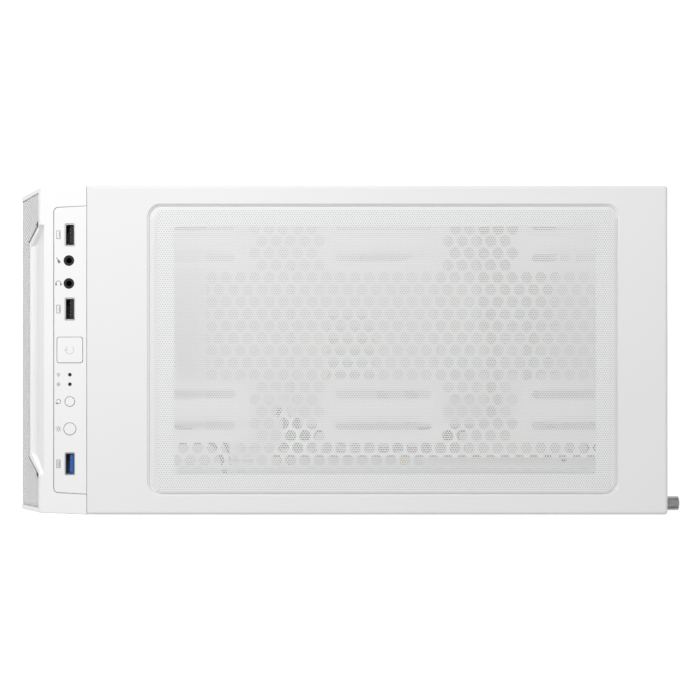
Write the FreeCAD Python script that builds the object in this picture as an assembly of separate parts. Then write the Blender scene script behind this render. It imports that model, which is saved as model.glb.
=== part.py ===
"""Desktop computer tower: a mid-tower steel case with a meshed front, a magnetic dust filter on its
vented top, a glass door, a sliding steel side panel and a complete computer inside.

Frame: +Z up, -Y is the front, -X is the glass side. The origin is on the floor under the middle of
the case. Every length is in millimetres. Each function makes one sub-part, and the list at the end
writes one STEP file per sub-part.
"""
import FreeCAD
import Part
import math
import os

from FreeCAD import Vector

# ---------------------------------------------------------------- driving dimensions
WIDTH = 206.0            # over both side panels
HEIGHT = 445.0           # floor to the top panel
FOOT_HEIGHT = 14.0       # floor to the underside of the case
SHEET = 1.0              # steel sheet
FRONT_Y = -209.2         # most forward line of the front panel
BROW_Y = -193.8          # front edge of the top surface
SEAM_Y = -164.7          # joint between plastic front panel and steel case
REAR_Y = 198.7           # rearmost steel face
SLOPE_DROP = 30.0        # height of the sloping part of the front, above and below

HALF = WIDTH / 2
BASE_Z = FOOT_HEIGHT
PANEL_LOW = BASE_Z + 2.0         # lower edge of the side panels
PANEL_HIGH = HEIGHT - 14.5       # upper edge of the side panels
WALL_REAR = REAR_Y - 1.0         # outer face of the rear wall
WALL_FRONT = SEAM_Y + 0.3        # outer face of the front wall
TRAY_X = 74.0                    # inner face of the motherboard tray
SHROUD_Z = 112.0                 # underside of the power supply shroud's top

# Front panel
SHELL_WALL = 3.0
SHELL_ROOF = 2.5
SIDE_DRAFT = 0.038               # how much each side closes in for each mm forward
LEFT_CLOSE = 4.6                 # further closing of the sloping part, glass side
RIGHT_CLOSE = 0.6                # and the other side
MESH_INSET = 1.0                 # how far the mesh sits behind the rim
MESH_SHEET = 0.8
SCOOP_TOP_HALF = 78.3
SCOOP_FOOT_HALF = 65.0
SCOOP_DROP = 17.5

# Strip of ports and buttons on the top, at the front
STRIP_FRONT_Y = -185.4
STRIP_FRONT_HALF = 89.2
STRIP_REAR_HALF = 90.4
STRIP_THICK = 3.0
STRIP_GAP = 0.35
PORT_Y = -175.1
USB2_X = (-72.0, -25.6)
USB3_X = 71.1
AUDIO_X = (-55.9, -41.6)
AUDIO_Y = -175.7
POWER_X = 0.0
INDICATOR_X = (15.4, 21.4)
RESET_X = 32.2
LIGHT_X = 49.3
USB_CUT = (14.2, 6.4)            # opening in the strip, across and along the case
AUDIO_CUT_R = 3.35
AUDIO_BORE_R = 1.8
POWER_SIZE = 15.9
RESET_R = 2.95
LIGHT_R = 3.7
INDICATOR_R = 1.15
BUTTON_GAP = 0.3

# Top vent and its filter
VENT_X = -14.9
VENT_Y = 21.0
FILTER_LENGTH = 291.4
FILTER_WIDTH = 178.8
FILTER_CORNER = 7.0
FILTER_MESH = 0.5
MAGNET_WIDTH = 10.0
MAGNET_THICK = 1.2
RECESS_DEPTH = 2.0
RECESS_SLOPE = 1.7
VENT_PITCH = 8.96
VENT_ROW = 7.62
VENT_HOLE_R = 3.5
FAN_120_HOLES = 105.0
FAN_140_HOLES = 124.5

# Fans
FAN_SIZE = 120.0
FAN_DEPTH = 25.0
FAN_BORE_R = 58.0
FAN_HUB_R = 20.0
FAN_HOLE_R = 2.2
FRONT_FAN_X = -12.5
FRONT_FAN_Z = (104.0, 224.6, 345.2)
REAR_FAN = (-36.0, 372.0)        # centre, across and up

# Computer
BOARD_THICK = 1.6
BOARD_X = 65.9                   # component side of the motherboard
BOARD_Y = (-48.0, 195.8)
BOARD_Z = (129.0, 434.0)
CPU_Y, CPU_Z = 108.0, 348.0
SLOT_PITCH = 20.32
SLOT_TOP_Z = 262.0
CARD_LENGTH = 236.0
PSU_X = (-88.0, 62.0)
PSU_Y = (56.5, 196.5)
PSU_Z = (15.3, 101.3)
PSU_MID_X = (PSU_X[0] + PSU_X[1]) / 2
PSU_FAN_Y = 126.5

# Glass door
GLASS = 4.0
DOOR_AXIS_X = -100.5
DOOR_AXIS_Y = 195.6
DOOR_PIN_R = 1.5
DOOR_PIN_HOLE_R = 1.57

# Screws of the right side panel
SCREW_X = 97.5
SCREW_Z = (HEIGHT - 28.0, PANEL_LOW + 30.0)
SCREW_HEAD_R = 4.55
SCREW_SHANK_R = 1.7
SCREW_TAP_R = 1.78


# ---------------------------------------------------------------- helpers
def box(x, y, z):
    """A block from its three (low, high) pairs."""
    return Part.makeBox(x[1] - x[0], y[1] - y[0], z[1] - z[0], Vector(x[0], y[0], z[0]))


AXES = {"x": Vector(1, 0, 0), "y": Vector(0, 1, 0), "z": Vector(0, 0, 1)}


def rod(axis, start, radius, length):
    """A cylinder that starts at a point and runs up one axis."""
    return Part.makeCylinder(radius, length, Vector(*start), AXES[axis])


def cone(axis, start, r_start, r_end, length):
    return Part.makeCone(r_start, r_end, length, Vector(*start), AXES[axis])


def joined(shapes):
    """One solid from overlapping or touching ones."""
    first, rest = shapes[0], shapes[1:]
    return first.fuse(rest).removeSplitter() if rest else first


def group(shapes):
    return Part.makeCompound(shapes)


def corner_wire(points, radii, height=0.0):
    """A closed outline in the XY plane whose corners are rounded, each by its own radius."""
    edges, count = [], len(points)
    ends = []
    for i, (x, y) in enumerate(points):
        here = Vector(x, y, height)
        before = Vector(*points[i - 1], height) - here
        after = Vector(*points[(i + 1) % count], height) - here
        radius = radii[i] if isinstance(radii, (list, tuple)) else radii
        if radius <= 0:
            ends.append((here, None, here))
            continue
        before.normalize()
        after.normalize()
        half_angle = before.getAngle(after) / 2
        reach = radius / math.tan(half_angle)
        middle = before + after
        middle.normalize()
        centre = here + middle * (radius / math.sin(half_angle))
        ends.append((here + before * reach, centre - middle * radius, here + after * reach))
    for i, (start, mid, end) in enumerate(ends):
        if mid is not None:
            edges.append(Part.Arc(start, mid, end).toShape())
        nxt = ends[(i + 1) % count][0]
        if (nxt - end).Length > 1e-7:
            edges.append(Part.LineSegment(end, nxt).toShape())
    return Part.Wire(edges)


def rounded(centre, size, radius, height=0.0):
    """A rounded rectangle outline about a centre."""
    (cx, cy), (w, h) = centre, (size[0] / 2, size[1] / 2)
    radius = min(radius, w - 1e-3, h - 1e-3)
    return corner_wire([(cx - w, cy - h), (cx + w, cy - h), (cx + w, cy + h), (cx - w, cy + h)],
                       radius, height)


def circle(centre, radius, height=0.0):
    return Part.Wire([Part.Circle(Vector(*centre, height), AXES["z"], radius).toShape()])


def plate(outline, holes, thickness):
    """A flat plate on the XY plane, as thick as asked, with holes."""
    return Part.Face([outline] + list(holes), "Part::FaceMakerBullseye").extrude(Vector(0, 0, thickness))


def facing_x(shape, x):
    """Stands a plate up so that its X, Y run along Y, Z of the case and its thickness along +X from x."""
    turn = FreeCAD.Matrix(0, 0, 1, x, 1, 0, 0, 0, 0, 1, 0, 0, 0, 0, 0, 1)
    shape.Placement = FreeCAD.Placement(turn).multiply(shape.Placement)
    return shape


def facing_y(shape, y):
    """Stands a plate up so that its X, Y run along X, Z of the case and its thickness along -Y from y."""
    turn = FreeCAD.Matrix(1, 0, 0, 0, 0, 0, -1, y, 0, 1, 0, 0, 0, 0, 0, 1)
    shape.Placement = FreeCAD.Placement(turn).multiply(shape.Placement)
    return shape


def moved(shape, x=0.0, y=0.0, z=0.0):
    copy = shape.copy()
    copy.translate(Vector(x, y, z))
    return copy


def prism_x(points, x):
    """A solid with the outline points (y, z), between two places on X."""
    corners = [Vector(x[0], *p) for p in points]
    return Part.Face(Part.makePolygon(corners + corners[:1])).extrude(Vector(x[1] - x[0], 0, 0))


def prism_y(points, y):
    corners = [Vector(p[0], y[0], p[1]) for p in points]
    return Part.Face(Part.makePolygon(corners + corners[:1])).extrude(Vector(0, y[1] - y[0], 0))


def prism_z(points, z):
    corners = [Vector(*p, z[0]) for p in points]
    return Part.Face(Part.makePolygon(corners + corners[:1])).extrude(Vector(0, 0, z[1] - z[0]))


def between(low_wire, high_wire):
    """A solid that runs straight from one outline to another at a different height."""
    return Part.makeLoft([low_wire, high_wire], True, True)


def hex_centres(columns, rows, pitch, row_pitch, keep):
    """Centres of a staggered field of holes about (0, 0): odd rows are shifted half a pitch."""
    found = []
    for k in range(-rows, rows + 1):
        shift = 0.5 if k % 2 else 0.0
        for n in range(-columns, columns + 1):
            u, v = (n + shift) * pitch, k * row_pitch
            if keep(u, v, k):
                found.append((u, v))
    return found


# ---------------------------------------------------------------- steel case
def chassis_top_panel():
    """Roof with folded edges, a shallow pan for the filter, fan slots in dimples and a field of holes."""
    fold_low, fold_r = HEIGHT - 14.0, 2.0

    def roof_block(inset, low, high, radius):
        shape = box((-HALF + inset, HALF - inset), (SEAM_Y + 0.3, REAR_Y - inset), (low, high))
        soft = [e for e in shape.Edges
                if e.CenterOfMass.z > high - 1e-6 and (abs(abs(e.CenterOfMass.x) - HALF + inset) < 1e-6
                                                       or abs(e.CenterOfMass.y - REAR_Y + inset) < 1e-6)
                or abs(abs(e.CenterOfMass.x) - HALF + inset) < 1e-6
                and abs(e.CenterOfMass.y - REAR_Y + inset) < 1e-6]
        return shape.makeFillet(radius, soft)

    roof = roof_block(0, fold_low, HEIGHT, fold_r)
    roof = roof.cut(roof_block(SHEET, fold_low - 1, HEIGHT - SHEET, fold_r - SHEET))
    mid_y = VENT_Y
    floor_z = HEIGHT - RECESS_DEPTH
    foot = (FILTER_LENGTH + 0.6, FILTER_WIDTH + 0.6)
    mouth = (foot[0] + 2 * RECESS_SLOPE, foot[1] + 2 * RECESS_SLOPE)

    def pan(size, radius, height):
        return rounded((0, mid_y), (size[1], size[0]), radius, height)

    outside = between(pan((foot[0] + 2, foot[1] + 2), FILTER_CORNER + 1, floor_z - SHEET),
                      pan((mouth[0] + 1, mouth[1] + 1), FILTER_CORNER + 2, HEIGHT - SHEET))
    inside = between(pan(foot, FILTER_CORNER, floor_z), pan(mouth, FILTER_CORNER + 1.5, HEIGHT))
    roof = roof.cut(between(pan(mouth, FILTER_CORNER + 1.5, HEIGHT - SHEET - 0.5),
                            pan(mouth, FILTER_CORNER + 1.5, HEIGHT + 1)))
    roof = roof.fuse(outside).cut(inside)
    return roof.cut(group(vent_cutters(floor_z))).fuse(dimples(floor_z)).cut(group(slot_cutters(floor_z)))


def slot_places():
    """(centre across, centre along, length) of the fan slots: four rows, three slots in each."""
    rows = [VENT_X + s * FAN_140_HOLES / 2 for s in (-1, 1)]
    rows += [VENT_X + s * (FAN_120_HOLES - FAN_140_HOLES / 2) for s in (-1, 1)]
    end_slot = 45.0
    return [(x, VENT_Y + side * (93.0 + end_slot / 2), end_slot) for x in rows for side in (-1, 1)] + \
           [(x, VENT_Y, 60.0) for x in rows]


def vent_cutters(floor_z):
    """Round holes, left out where the slots are."""
    def keep(u, v, k):
        if abs(k) <= 4 or 10 <= k <= 12:
            return abs(u) < 134.6
        in_gap = 38.0 < abs(u) < 81.5
        return -9 <= k <= 9 and in_gap

    return [rod("z", (VENT_X + v, VENT_Y + u, floor_z - 3), VENT_HOLE_R, 6)
            for u, v in hex_centres(15, 12, VENT_PITCH, VENT_ROW, keep)]


DIMPLE_DEPTH = 1.2
SLOT_WIDTH = 4.8


def stadium(place, grow, width, height):
    x, y, length = place
    size = (width, length + grow)
    return rounded((x, y), size, size[0] / 2 - 0.01, height)


def dimples(floor_z):
    """Pressed hollows round the slots, so that screw heads lie below the filter."""
    made = []
    for place in slot_places():
        skin = between(stadium(place, 3.2, 9.8, floor_z - SHEET - DIMPLE_DEPTH),
                       stadium(place, 7.9, 13.6, floor_z - SHEET))
        lower = between(stadium(place, 1.2, 7.8, floor_z - DIMPLE_DEPTH), stadium(place, 6.7, 12.4, floor_z))
        made.append(skin.cut(lower))
    return made


def slot_cutters(floor_z):
    made = []
    for place in slot_places():
        made.append(between(stadium(place, 0, SLOT_WIDTH, floor_z - 6), stadium(place, 0, SLOT_WIDTH, floor_z + 2)))
        made.append(between(stadium(place, 1.2, 7.8, floor_z - DIMPLE_DEPTH), stadium(place, 6.7, 12.4, floor_z)))
    return made


def chassis_bottom():
    """Floor pan with turned-up edges, an intake grille under the power supply and rails for its filter."""
    grille = [rounded((PSU_MID_X, PSU_FAN_Y + step * 9.0), (104, 5), 2.4) for step in range(-6, 7)]
    holes = [circle((x, y), 2.4) for x, y in FOOT_PLACES]
    pan = plate(rounded((0, (WALL_FRONT + WALL_REAR) / 2), (2 * 101, WALL_REAR - WALL_FRONT - 2.2), 1),
                grille + holes, SHEET)
    pan.translate(Vector(0, 0, BASE_Z))
    y = (WALL_FRONT + 1.2, WALL_REAR - 1.2)
    lips = [box((100, 101), y, (BASE_Z, BASE_Z + 12)), box((-97.9, -96.9), (y[0], 188), (BASE_Z, BASE_Z + 12))]
    rails = []
    for side in (-1, 1):
        edge = PSU_MID_X + side * 59.5
        rails.append(box(sorted((edge, edge + side * 1.5)), (42, 198), (9.2, BASE_Z)))
        rails.append(box(sorted((edge + side * 1.5, edge - side * 2.5)), (42, 198), (8.2, 9.2)))
    return joined([pan] + lips + rails)


FOOT_PLACES = [(-88, -132), (88, -132), (-88, 172), (88, 172)]


def case_feet():
    """Four round feet, each a plastic cone on a rubber pad, with a screw into the floor pan."""
    feet = []
    for x, y in FOOT_PLACES:
        body = cone("z", (x, y, 3), 10.3, 9.0, BASE_Z - 3.02)
        pad = cone("z", (x, y, 0), 9.2, 9.8, 3)
        screw = rod("z", (x, y, BASE_Z - 1), 2.2, 2.2)
        feet.append(joined([pad, body, screw]))
    return group(feet)


def chassis_front_wall():
    """Inner front wall with three fan openings and holes for the front panel's clips."""
    z_low, z_high = BASE_Z + 1.2, HEIGHT - 1.2
    holes = []
    for z in FRONT_FAN_Z:
        holes.append(circle((FRONT_FAN_X, z), 57.0))
        holes += [circle((FRONT_FAN_X + sx * 52.5, z + sz * 52.5), 2.3) for sx in (-1, 1) for sz in (-1, 1)]
    holes += [circle(place, 3.3) for place in CLIP_PLACES]
    holes += [rounded((74, z), (20, 60), 6) for z in (150, 270)]
    holes.append(rounded((50, HEIGHT - 26), (24, 10), 4))
    wall = plate(rounded((1.15, (z_low + z_high) / 2), (198.7, z_high - z_low), 1.5), holes, SHEET)
    wall = facing_y(wall, WALL_FRONT + SHEET)
    lip = box((99.5, 100.5), (WALL_FRONT, WALL_FRONT + 12), (z_low + 14, z_high - 6))
    left = box((-96.8, -95.8), (WALL_FRONT, WALL_FRONT + 12), (z_low + 14, z_high - 6))
    return joined([wall, lip, left])


CLIP_PLACES = [(side * 91, z) for side in (-1, 1) for z in (58, 236, 398)]


def rear_slots():
    return [SLOT_TOP_Z - i * SLOT_PITCH for i in range(7)]


IO_CUT = ((24.4, 68.85), (272.0, 430.75))     # across and up


SUPPLY_SEAM_Z = 113.6
GRILLE = ((-94.0, 22.0), (314.0, 430.0))      # stamped fan grille, across and up


def wall_sheet(x, z, holes=()):
    """Flat sheet of the rear wall between two places across and up."""
    outline = rounded(((x[0] + x[1]) / 2, (z[0] + z[1]) / 2), (x[1] - x[0], z[1] - z[0]), 0)
    return facing_y(plate(outline, list(holes), SHEET), WALL_REAR)


def chassis_rear_wall():
    """Rear wall over the power supply: a sheet of card slots, and strips round the port opening and
    the stamped fan grille."""
    left, right, top = -96.5, 101.0, HEIGHT - 2.2
    (port_left, port_right), (port_low, port_high) = IO_CUT
    (grille_left, grille_right), (grille_low, grille_high) = GRILLE
    slots = [rounded((12, z), (104, 12.2), 0) for z in rear_slots()]
    side_vent = hex_centres(1, 8, 8.4, 7.3, lambda u, v, k: abs(u) < 9)
    slots += [circle((-64 + u, 201 + v), 3.4) for u, v in side_vent]
    lip_y = (186, WALL_REAR - SHEET - FIT)
    made = [wall_sheet((left, right), (SUPPLY_SEAM_Z, port_low - FIT), slots),
            wall_sheet((left, port_left), (port_low, grille_low - FIT)),
            wall_sheet((left, grille_left - FIT), (grille_low, port_high - FIT)),
            wall_sheet((grille_right + FIT, port_left), (grille_low, port_high - FIT)),
            wall_sheet((left, right), (port_high, top)),
            wall_sheet((port_right, right), (port_low, port_high - FIT),
                       [circle((SCREW_X, SCREW_Z[0]), SCREW_TAP_R)]),
            box((100, 101), lip_y, (SUPPLY_SEAM_Z, top - 14)), fan_grille()]
    return group(made)


def fan_grille():
    """Square of the rear wall in front of the fan, with rows of round holes."""
    fan_x, fan_z = REAR_FAN
    vent = hex_centres(7, 7, 8.4, 7.3, lambda u, v, k: math.hypot(u, v) < 54.5)
    holes = [circle((fan_x + u, fan_z + v), 3.4) for u, v in vent]
    holes += [circle((fan_x + sx * 52.5, fan_z + sz * 52.5), 2.3) for sx in (-1, 1) for sz in (-1, 1)]
    (x_low, x_high), (z_low, z_high) = GRILLE
    outline = rounded(((x_low + x_high) / 2, (z_low + z_high) / 2), (x_high - x_low, z_high - z_low), 0)
    return facing_y(plate(outline, holes, SHEET), WALL_REAR)


def supply_frame():
    """Frame at the foot of the rear wall that the power supply is screwed to."""
    left, right, low = -96.5, 101.0, BASE_Z + 1.2
    high = SUPPLY_SEAM_Z - 0.1
    holes = [rounded((PSU_MID_X, (PSU_Z[0] + PSU_Z[1]) / 2), (126, 72), 0)]
    holes += [circle((PSU_MID_X + x, PSU_Z[0] + z), 2.0) for x, z in PSU_SCREWS]
    holes.append(circle((SCREW_X, SCREW_Z[1]), SCREW_TAP_R))
    frame = facing_y(plate(corner_wire([(left, low), (right, low), (right, high), (left, high)], 0), holes, SHEET),
                     WALL_REAR)
    return frame.fuse(box((100, 101), (186, WALL_REAR), (low + 14, high)))


PSU_SCREWS = [(-69, 80), (69, 80), (-69, 16), (69, 6)]


def side_rails():
    """Two folded rails under the roof that the side panel and the door close against."""
    y = (WALL_FRONT + 12.5, 185.5)
    z = (HEIGHT - 26, HEIGHT - 2.5, HEIGHT - 1.5)
    right = [box((99.6, 100.6), y, z[:2]), box((93.5, 100.6), y, z[1:])]
    left = [box((-97.9, -96.9), y, z[:2]), box((-97.9, -93), y, z[1:])]
    return group([joined(right), joined(left)])


TRAY_Y = (-136.8, 195.9)
TRAY_SEAM_Z = 125.0
CABLE_WAY_Y = (-91.0, -65.0)
CABLE_WAY_Z = (190.0, 290.0, 390.0)           # centres
CABLE_WAY_TALL = 64.0
FIT = 0.05                                    # gap between sheets that are riveted edge to edge


def sheet_at_x(y, z, holes):
    """Flat sheet of the tray between two places along and up the case."""
    outline = rounded(((y[0] + y[1]) / 2, (z[0] + z[1]) / 2), (y[1] - y[0], z[1] - z[0]), 0)
    return facing_x(plate(outline, holes, SHEET), TRAY_X)


def motherboard_tray():
    """Upright plate behind the motherboard: a lower sheet, four round the processor's window, and a
    post with bars between the cable ways."""
    z_low, z_high = BASE_Z + 1.2, HEIGHT - 6.5
    low_ways = [rounded((y, 84), (70, 30), 0) for y in (-70, 28)]
    lower = sheet_at_x(TRAY_Y, (z_low, TRAY_SEAM_Z - FIT), low_ways)
    foot = box((TRAY_X, TRAY_X + 11), TRAY_Y, (z_low, z_low + 1))
    y, z = (CPU_Y - 60, CPU_Y + 60), (CPU_Z - 55, CPU_Z + 55)
    round_window = [sheet_at_x((CABLE_WAY_Y[1], TRAY_Y[1]), (TRAY_SEAM_Z, z[0] - FIT), []),
                    sheet_at_x((CABLE_WAY_Y[1], y[0]), z, []),
                    sheet_at_x((y[1], TRAY_Y[1]), z, []),
                    sheet_at_x((CABLE_WAY_Y[1], TRAY_Y[1]), (z[1] + FIT, z_high), [])]
    post = sheet_at_x((TRAY_Y[0], CABLE_WAY_Y[0]), (TRAY_SEAM_Z, z_high), [])
    tops = [TRAY_SEAM_Z] + [z + CABLE_WAY_TALL / 2 for z in CABLE_WAY_Z]
    bottoms = [z - CABLE_WAY_TALL / 2 for z in CABLE_WAY_Z] + [z_high]
    bars = [sheet_at_x((CABLE_WAY_Y[0] + FIT, CABLE_WAY_Y[1] - FIT), ends, []) for ends in zip(tops, bottoms)]
    return group([joined([lower, foot]), post] + round_window + bars)


def board_holes():
    """Nine fixing holes of a full-size board, along and up the case."""
    rows = [BOARD_Z[1] - d for d in (10.2, 165.1, 298.0)]
    return [(BOARD_Y[1] - d, z) for d in (6.4, 163.8, 237.0) for z in rows]


def board_standoffs():
    """Nine brass hexagonal standoffs with their screws."""
    made = []
    for y, z in board_holes():
        ring = [(y + 2.9 * math.cos(a), z + 2.9 * math.sin(a)) for a in (math.radians(60 * i) for i in range(6))]
        post = prism_x(ring, (BOARD_X + BOARD_THICK + 0.02, TRAY_X - 0.02))
        head = rod("x", (BOARD_X - 2.0, y, z), 3.1, 1.98)
        stem = rod("x", (BOARD_X - 0.4, y, z), 1.5, BOARD_THICK + 0.8)
        made.append(joined([head, stem, post]))
    return group(made)


def psu_shroud():
    """Cover over the power supply and drives: a top plate and a skirt on the glass side."""
    x = (-97.0, TRAY_X - 0.3)
    y = (-110.0, WALL_REAR - 1.4)
    vents = [rounded((x_mid, y_mid), (54, 5), 2.4)
             for x_mid in (-62, 6) for y_mid in range(50, 171, 12)]
    cable_way = [rounded((40, 20), (50, 26), 8), rounded((-55, 20), (40, 20), 6)]
    top = plate(rounded(((x[0] + x[1]) / 2, (y[0] + y[1]) / 2), (x[1] - x[0], y[1] - y[0]), 1.5),
                vents + cable_way, SHEET)
    top.translate(Vector(0, 0, SHROUD_Z))
    skirt_holes = [rounded((-50, 64), (70, 60), 6)]
    skirt = facing_x(plate(rounded(((y[0] + y[1]) / 2, (SHROUD_Z + 1 + 27.2) / 2),
                                   (y[1] - y[0] - 20, SHROUD_Z + 1 - 27.2), 1.2), skirt_holes, SHEET), x[0])
    skirt.translate(Vector(0, -10, 0))
    return joined([top, skirt])


# ---------------------------------------------------------------- front panel
def front_line(inset):
    """The four bends of the front, from brow to sill, moved inwards by inset. Points are (y, z)."""
    run = BROW_Y - FRONT_Y
    level = inset * math.hypot(run, SLOPE_DROP) / SLOPE_DROP
    high = HEIGHT - SLOPE_DROP / run * (BROW_Y + level - FRONT_Y - inset)
    return [(BROW_Y + level, HEIGHT), (FRONT_Y + inset, high),
            (FRONT_Y + inset, HEIGHT + BASE_Z - high), (BROW_Y + level, BASE_Z)]


def front_band(near, far, half):
    """The layer of the front between two insets, on both sides of the middle."""
    return prism_x(front_line(near) + front_line(far)[::-1], (-half, half))


def shell_plan(inset):
    """Plan of the front panel. Its sides close in towards the front, more so on the glass side."""
    draft = SIDE_DRAFT * (SEAM_Y - BROW_Y)
    half, ahead = HALF - inset, FRONT_Y - 2
    reach = (BROW_Y - ahead) / (BROW_Y - FRONT_Y)
    return [(-half, SEAM_Y), (half, SEAM_Y), (half - draft, BROW_Y), (half - draft - RIGHT_CLOSE * reach, ahead),
            (-half + draft + LEFT_CLOSE * reach, ahead), (-half + draft, BROW_Y)]


def scoop_window(grow):
    """Outline of the finger scoop in the front, as (x, z)."""
    lean = (SCOOP_TOP_HALF - SCOOP_FOOT_HALF) / SCOOP_DROP
    top = SCOOP_TOP_HALF + grow + 3 * lean
    foot = SCOOP_FOOT_HALF + grow
    return [(-foot, HEIGHT - SCOOP_DROP - grow), (foot, HEIGHT - SCOOP_DROP - grow),
            (top, HEIGHT + 3), (-top, HEIGHT + 3)]


def scoop_line(back):
    """The scoop's surface in section, as (y, z), moved back."""
    lip_y = BROW_Y - (BROW_Y - FRONT_Y) * SCOOP_DROP / SLOPE_DROP
    return [(-191.2 + back, HEIGHT + 3), (-191.2 + back, HEIGHT - 1), (-193.6 + back, HEIGHT - 6.5),
            (-195.8 + back, HEIGHT - 11.5), (-196.8 + back, HEIGHT - 14.0), (-198.4 + back, HEIGHT - 16.0),
            (-200.6 + back, HEIGHT - 17.0), (lip_y + back * 0.6, HEIGHT - SCOOP_DROP - back * 0.9)]


def scoop_cut():
    front = FRONT_Y - 5
    side = scoop_line(0)
    outline = side + [(front, side[-1][1] - 1.0), (front, HEIGHT + 3)]
    return prism_x(outline, (-HALF, HALF)).common(prism_y(scoop_window(0), (front, -150)))


def strip_outline(grow, height, lengthen=0.0):
    """Outline of the port strip, a little wider at the back than at the front."""
    points = [(-STRIP_FRONT_HALF - grow, STRIP_FRONT_Y - grow), (STRIP_FRONT_HALF + grow, STRIP_FRONT_Y - grow),
              (STRIP_REAR_HALF + grow, SEAM_Y + lengthen), (-STRIP_REAR_HALF - grow, SEAM_Y + lengthen)]
    return corner_wire(points, [3.0 + grow, 3.0 + grow, 0, 0], height)


def front_panel_shell():
    """Plastic front: rim, roof with a bay for the port strip, finger scoop, ledge, bars and clips."""
    profile = [(SEAM_Y, HEIGHT)] + front_line(0) + [(SEAM_Y, BASE_Z)]
    outer = prism_x(profile, (-HALF, HALF)).common(prism_z(shell_plan(0), (0, HEIGHT + 1)))
    brow_edges = [e for e in outer.Edges
                  if abs(e.CenterOfMass.x) > 96 and e.CenterOfMass.y < SEAM_Y - 1
                  or abs(e.CenterOfMass.x) < 1 and abs(e.CenterOfMass.y - BROW_Y) < 0.1]
    outer = outer.makeFillet(0.8, brow_edges)
    core = prism_z(shell_plan(SHELL_WALL), (BASE_Z + SHELL_ROOF, HEIGHT - SHELL_ROOF))
    core = core.fuse(box((-HALF, HALF), (SEAM_Y - 0.5, SEAM_Y + 1), (BASE_Z + SHELL_ROOF, HEIGHT - SHELL_ROOF))
                     .common(prism_z(shell_plan(SHELL_WALL), (0, HEIGHT))))
    ring = outer.cut(core)
    window = prism_y([(-90.5, BASE_Z + 5), (90.5, BASE_Z + 5), (90.5, HEIGHT - 5), (-90.5, HEIGHT - 5)],
                     (FRONT_Y - 1, -150))
    inner_plan = prism_z(shell_plan(SHELL_WALL - 0.5), (BASE_Z + 1, HEIGHT - 1))
    ledge = front_band(2.1, 4.1, HALF).common(inner_plan).cut(window)
    bars = [box((-98, 98), (FRONT_Y + 2.1, FRONT_Y + 8), (z, z + 4)) for z in (150, 228, 306)]
    bosses = []
    for x, z in CLIP_PLACES:
        side = 1 if x > 0 else -1
        bosses.append(box(sorted((x - side * 4, x + side * 9.5)), (SEAM_Y - 14, SEAM_Y - 0.3), (z - 5, z + 5)))
    scoop_back = prism_x(front_line(0.9) [:2] + [(FRONT_Y + 0.9, HEIGHT - SCOOP_DROP - 4),
                                                 (-190, HEIGHT - SCOOP_DROP - 4), (-186.2, HEIGHT - 1)],
                         (-HALF, HALF))
    scoop_block = scoop_back.common(prism_y(scoop_window(2.5), (FRONT_Y - 5, -150)))
    scoop_block = scoop_block.common(outer)
    shell = joined([ring, ledge] + bars + bosses + [scoop_block])
    bay = between(strip_outline(0, HEIGHT - 4, 2), strip_outline(0, HEIGHT + 1, 2))
    shell = shell.cut(scoop_cut()).cut(bay)
    return shell


def front_panel_clips():
    """Six push-in clips on the bosses at the back of the front panel."""
    made = []
    for x, z in CLIP_PLACES:
        shank = rod("y", (x, SEAM_Y - 0.25, z), 2.9, 5.85)
        made.append(joined([shank, cone("y", (x, SEAM_Y + 5.5, z), 2.9, 1.6, 3)]))
    return group(made)


def front_mesh():
    """Steel mesh behind the rim, bent along the two creases and notched round the scoop."""
    sheet = front_band(MESH_INSET, MESH_INSET + MESH_SHEET, HALF)
    z = (BASE_Z + SHELL_ROOF + 0.2, HEIGHT - SHELL_ROOF - 0.1)
    sheet = sheet.common(prism_z(shell_plan(SHELL_WALL + 0.3), z))
    return sheet.cut(prism_y(scoop_window(2.7), (FRONT_Y - 5, -150)))


# ---------------------------------------------------------------- ports and buttons
def port_strip():
    """Plate of ports and buttons, with a skirt and two legs that hold the board under it."""
    strip = between(strip_outline(-STRIP_GAP, HEIGHT - STRIP_THICK, 0),
                    strip_outline(-STRIP_GAP, HEIGHT, 0))
    top = [e for e in strip.Edges if e.CenterOfMass.z > HEIGHT - 1e-6 and e.CenterOfMass.y < SEAM_Y - 1]
    strip = strip.makeFillet(0.35, top)
    cuts = [(rounded((x, PORT_Y), USB_CUT, 0.9, HEIGHT - 5)) for x in USB2_X + (USB3_X,)]
    cuts += [circle((x, AUDIO_Y), AUDIO_CUT_R, HEIGHT - 5) for x in AUDIO_X]
    cuts += [circle((x, PORT_Y), INDICATOR_R, HEIGHT - 5) for x in INDICATOR_X]
    cuts += [circle((RESET_X, PORT_Y), RESET_R + BUTTON_GAP, HEIGHT - 5),
             circle((LIGHT_X, PORT_Y), LIGHT_R + BUTTON_GAP, HEIGHT - 5)]
    size = POWER_SIZE + 2 * BUTTON_GAP
    cuts.append(rounded((POWER_X, PORT_Y), (size, size), 1.7, HEIGHT - 5))
    strip = strip.cut(group([Part.Face(w).extrude(Vector(0, 0, 8)) for w in cuts]))
    legs = [box((x - 2, x + 2), (PORT_Y - 7, PORT_Y + 7), (HEIGHT - 13.98, HEIGHT - STRIP_THICK))
            for x in (-86, 86)]
    tabs = [box((x - 5, x + 5), (SEAM_Y - 2.5, WALL_FRONT - 0.05), (HEIGHT - 26, HEIGHT - STRIP_THICK + 0.5))
            for x in (-82, 15, 82)]
    return joined([strip] + legs + tabs)


PORT_BOARD_Z = HEIGHT - 15.6


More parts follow.
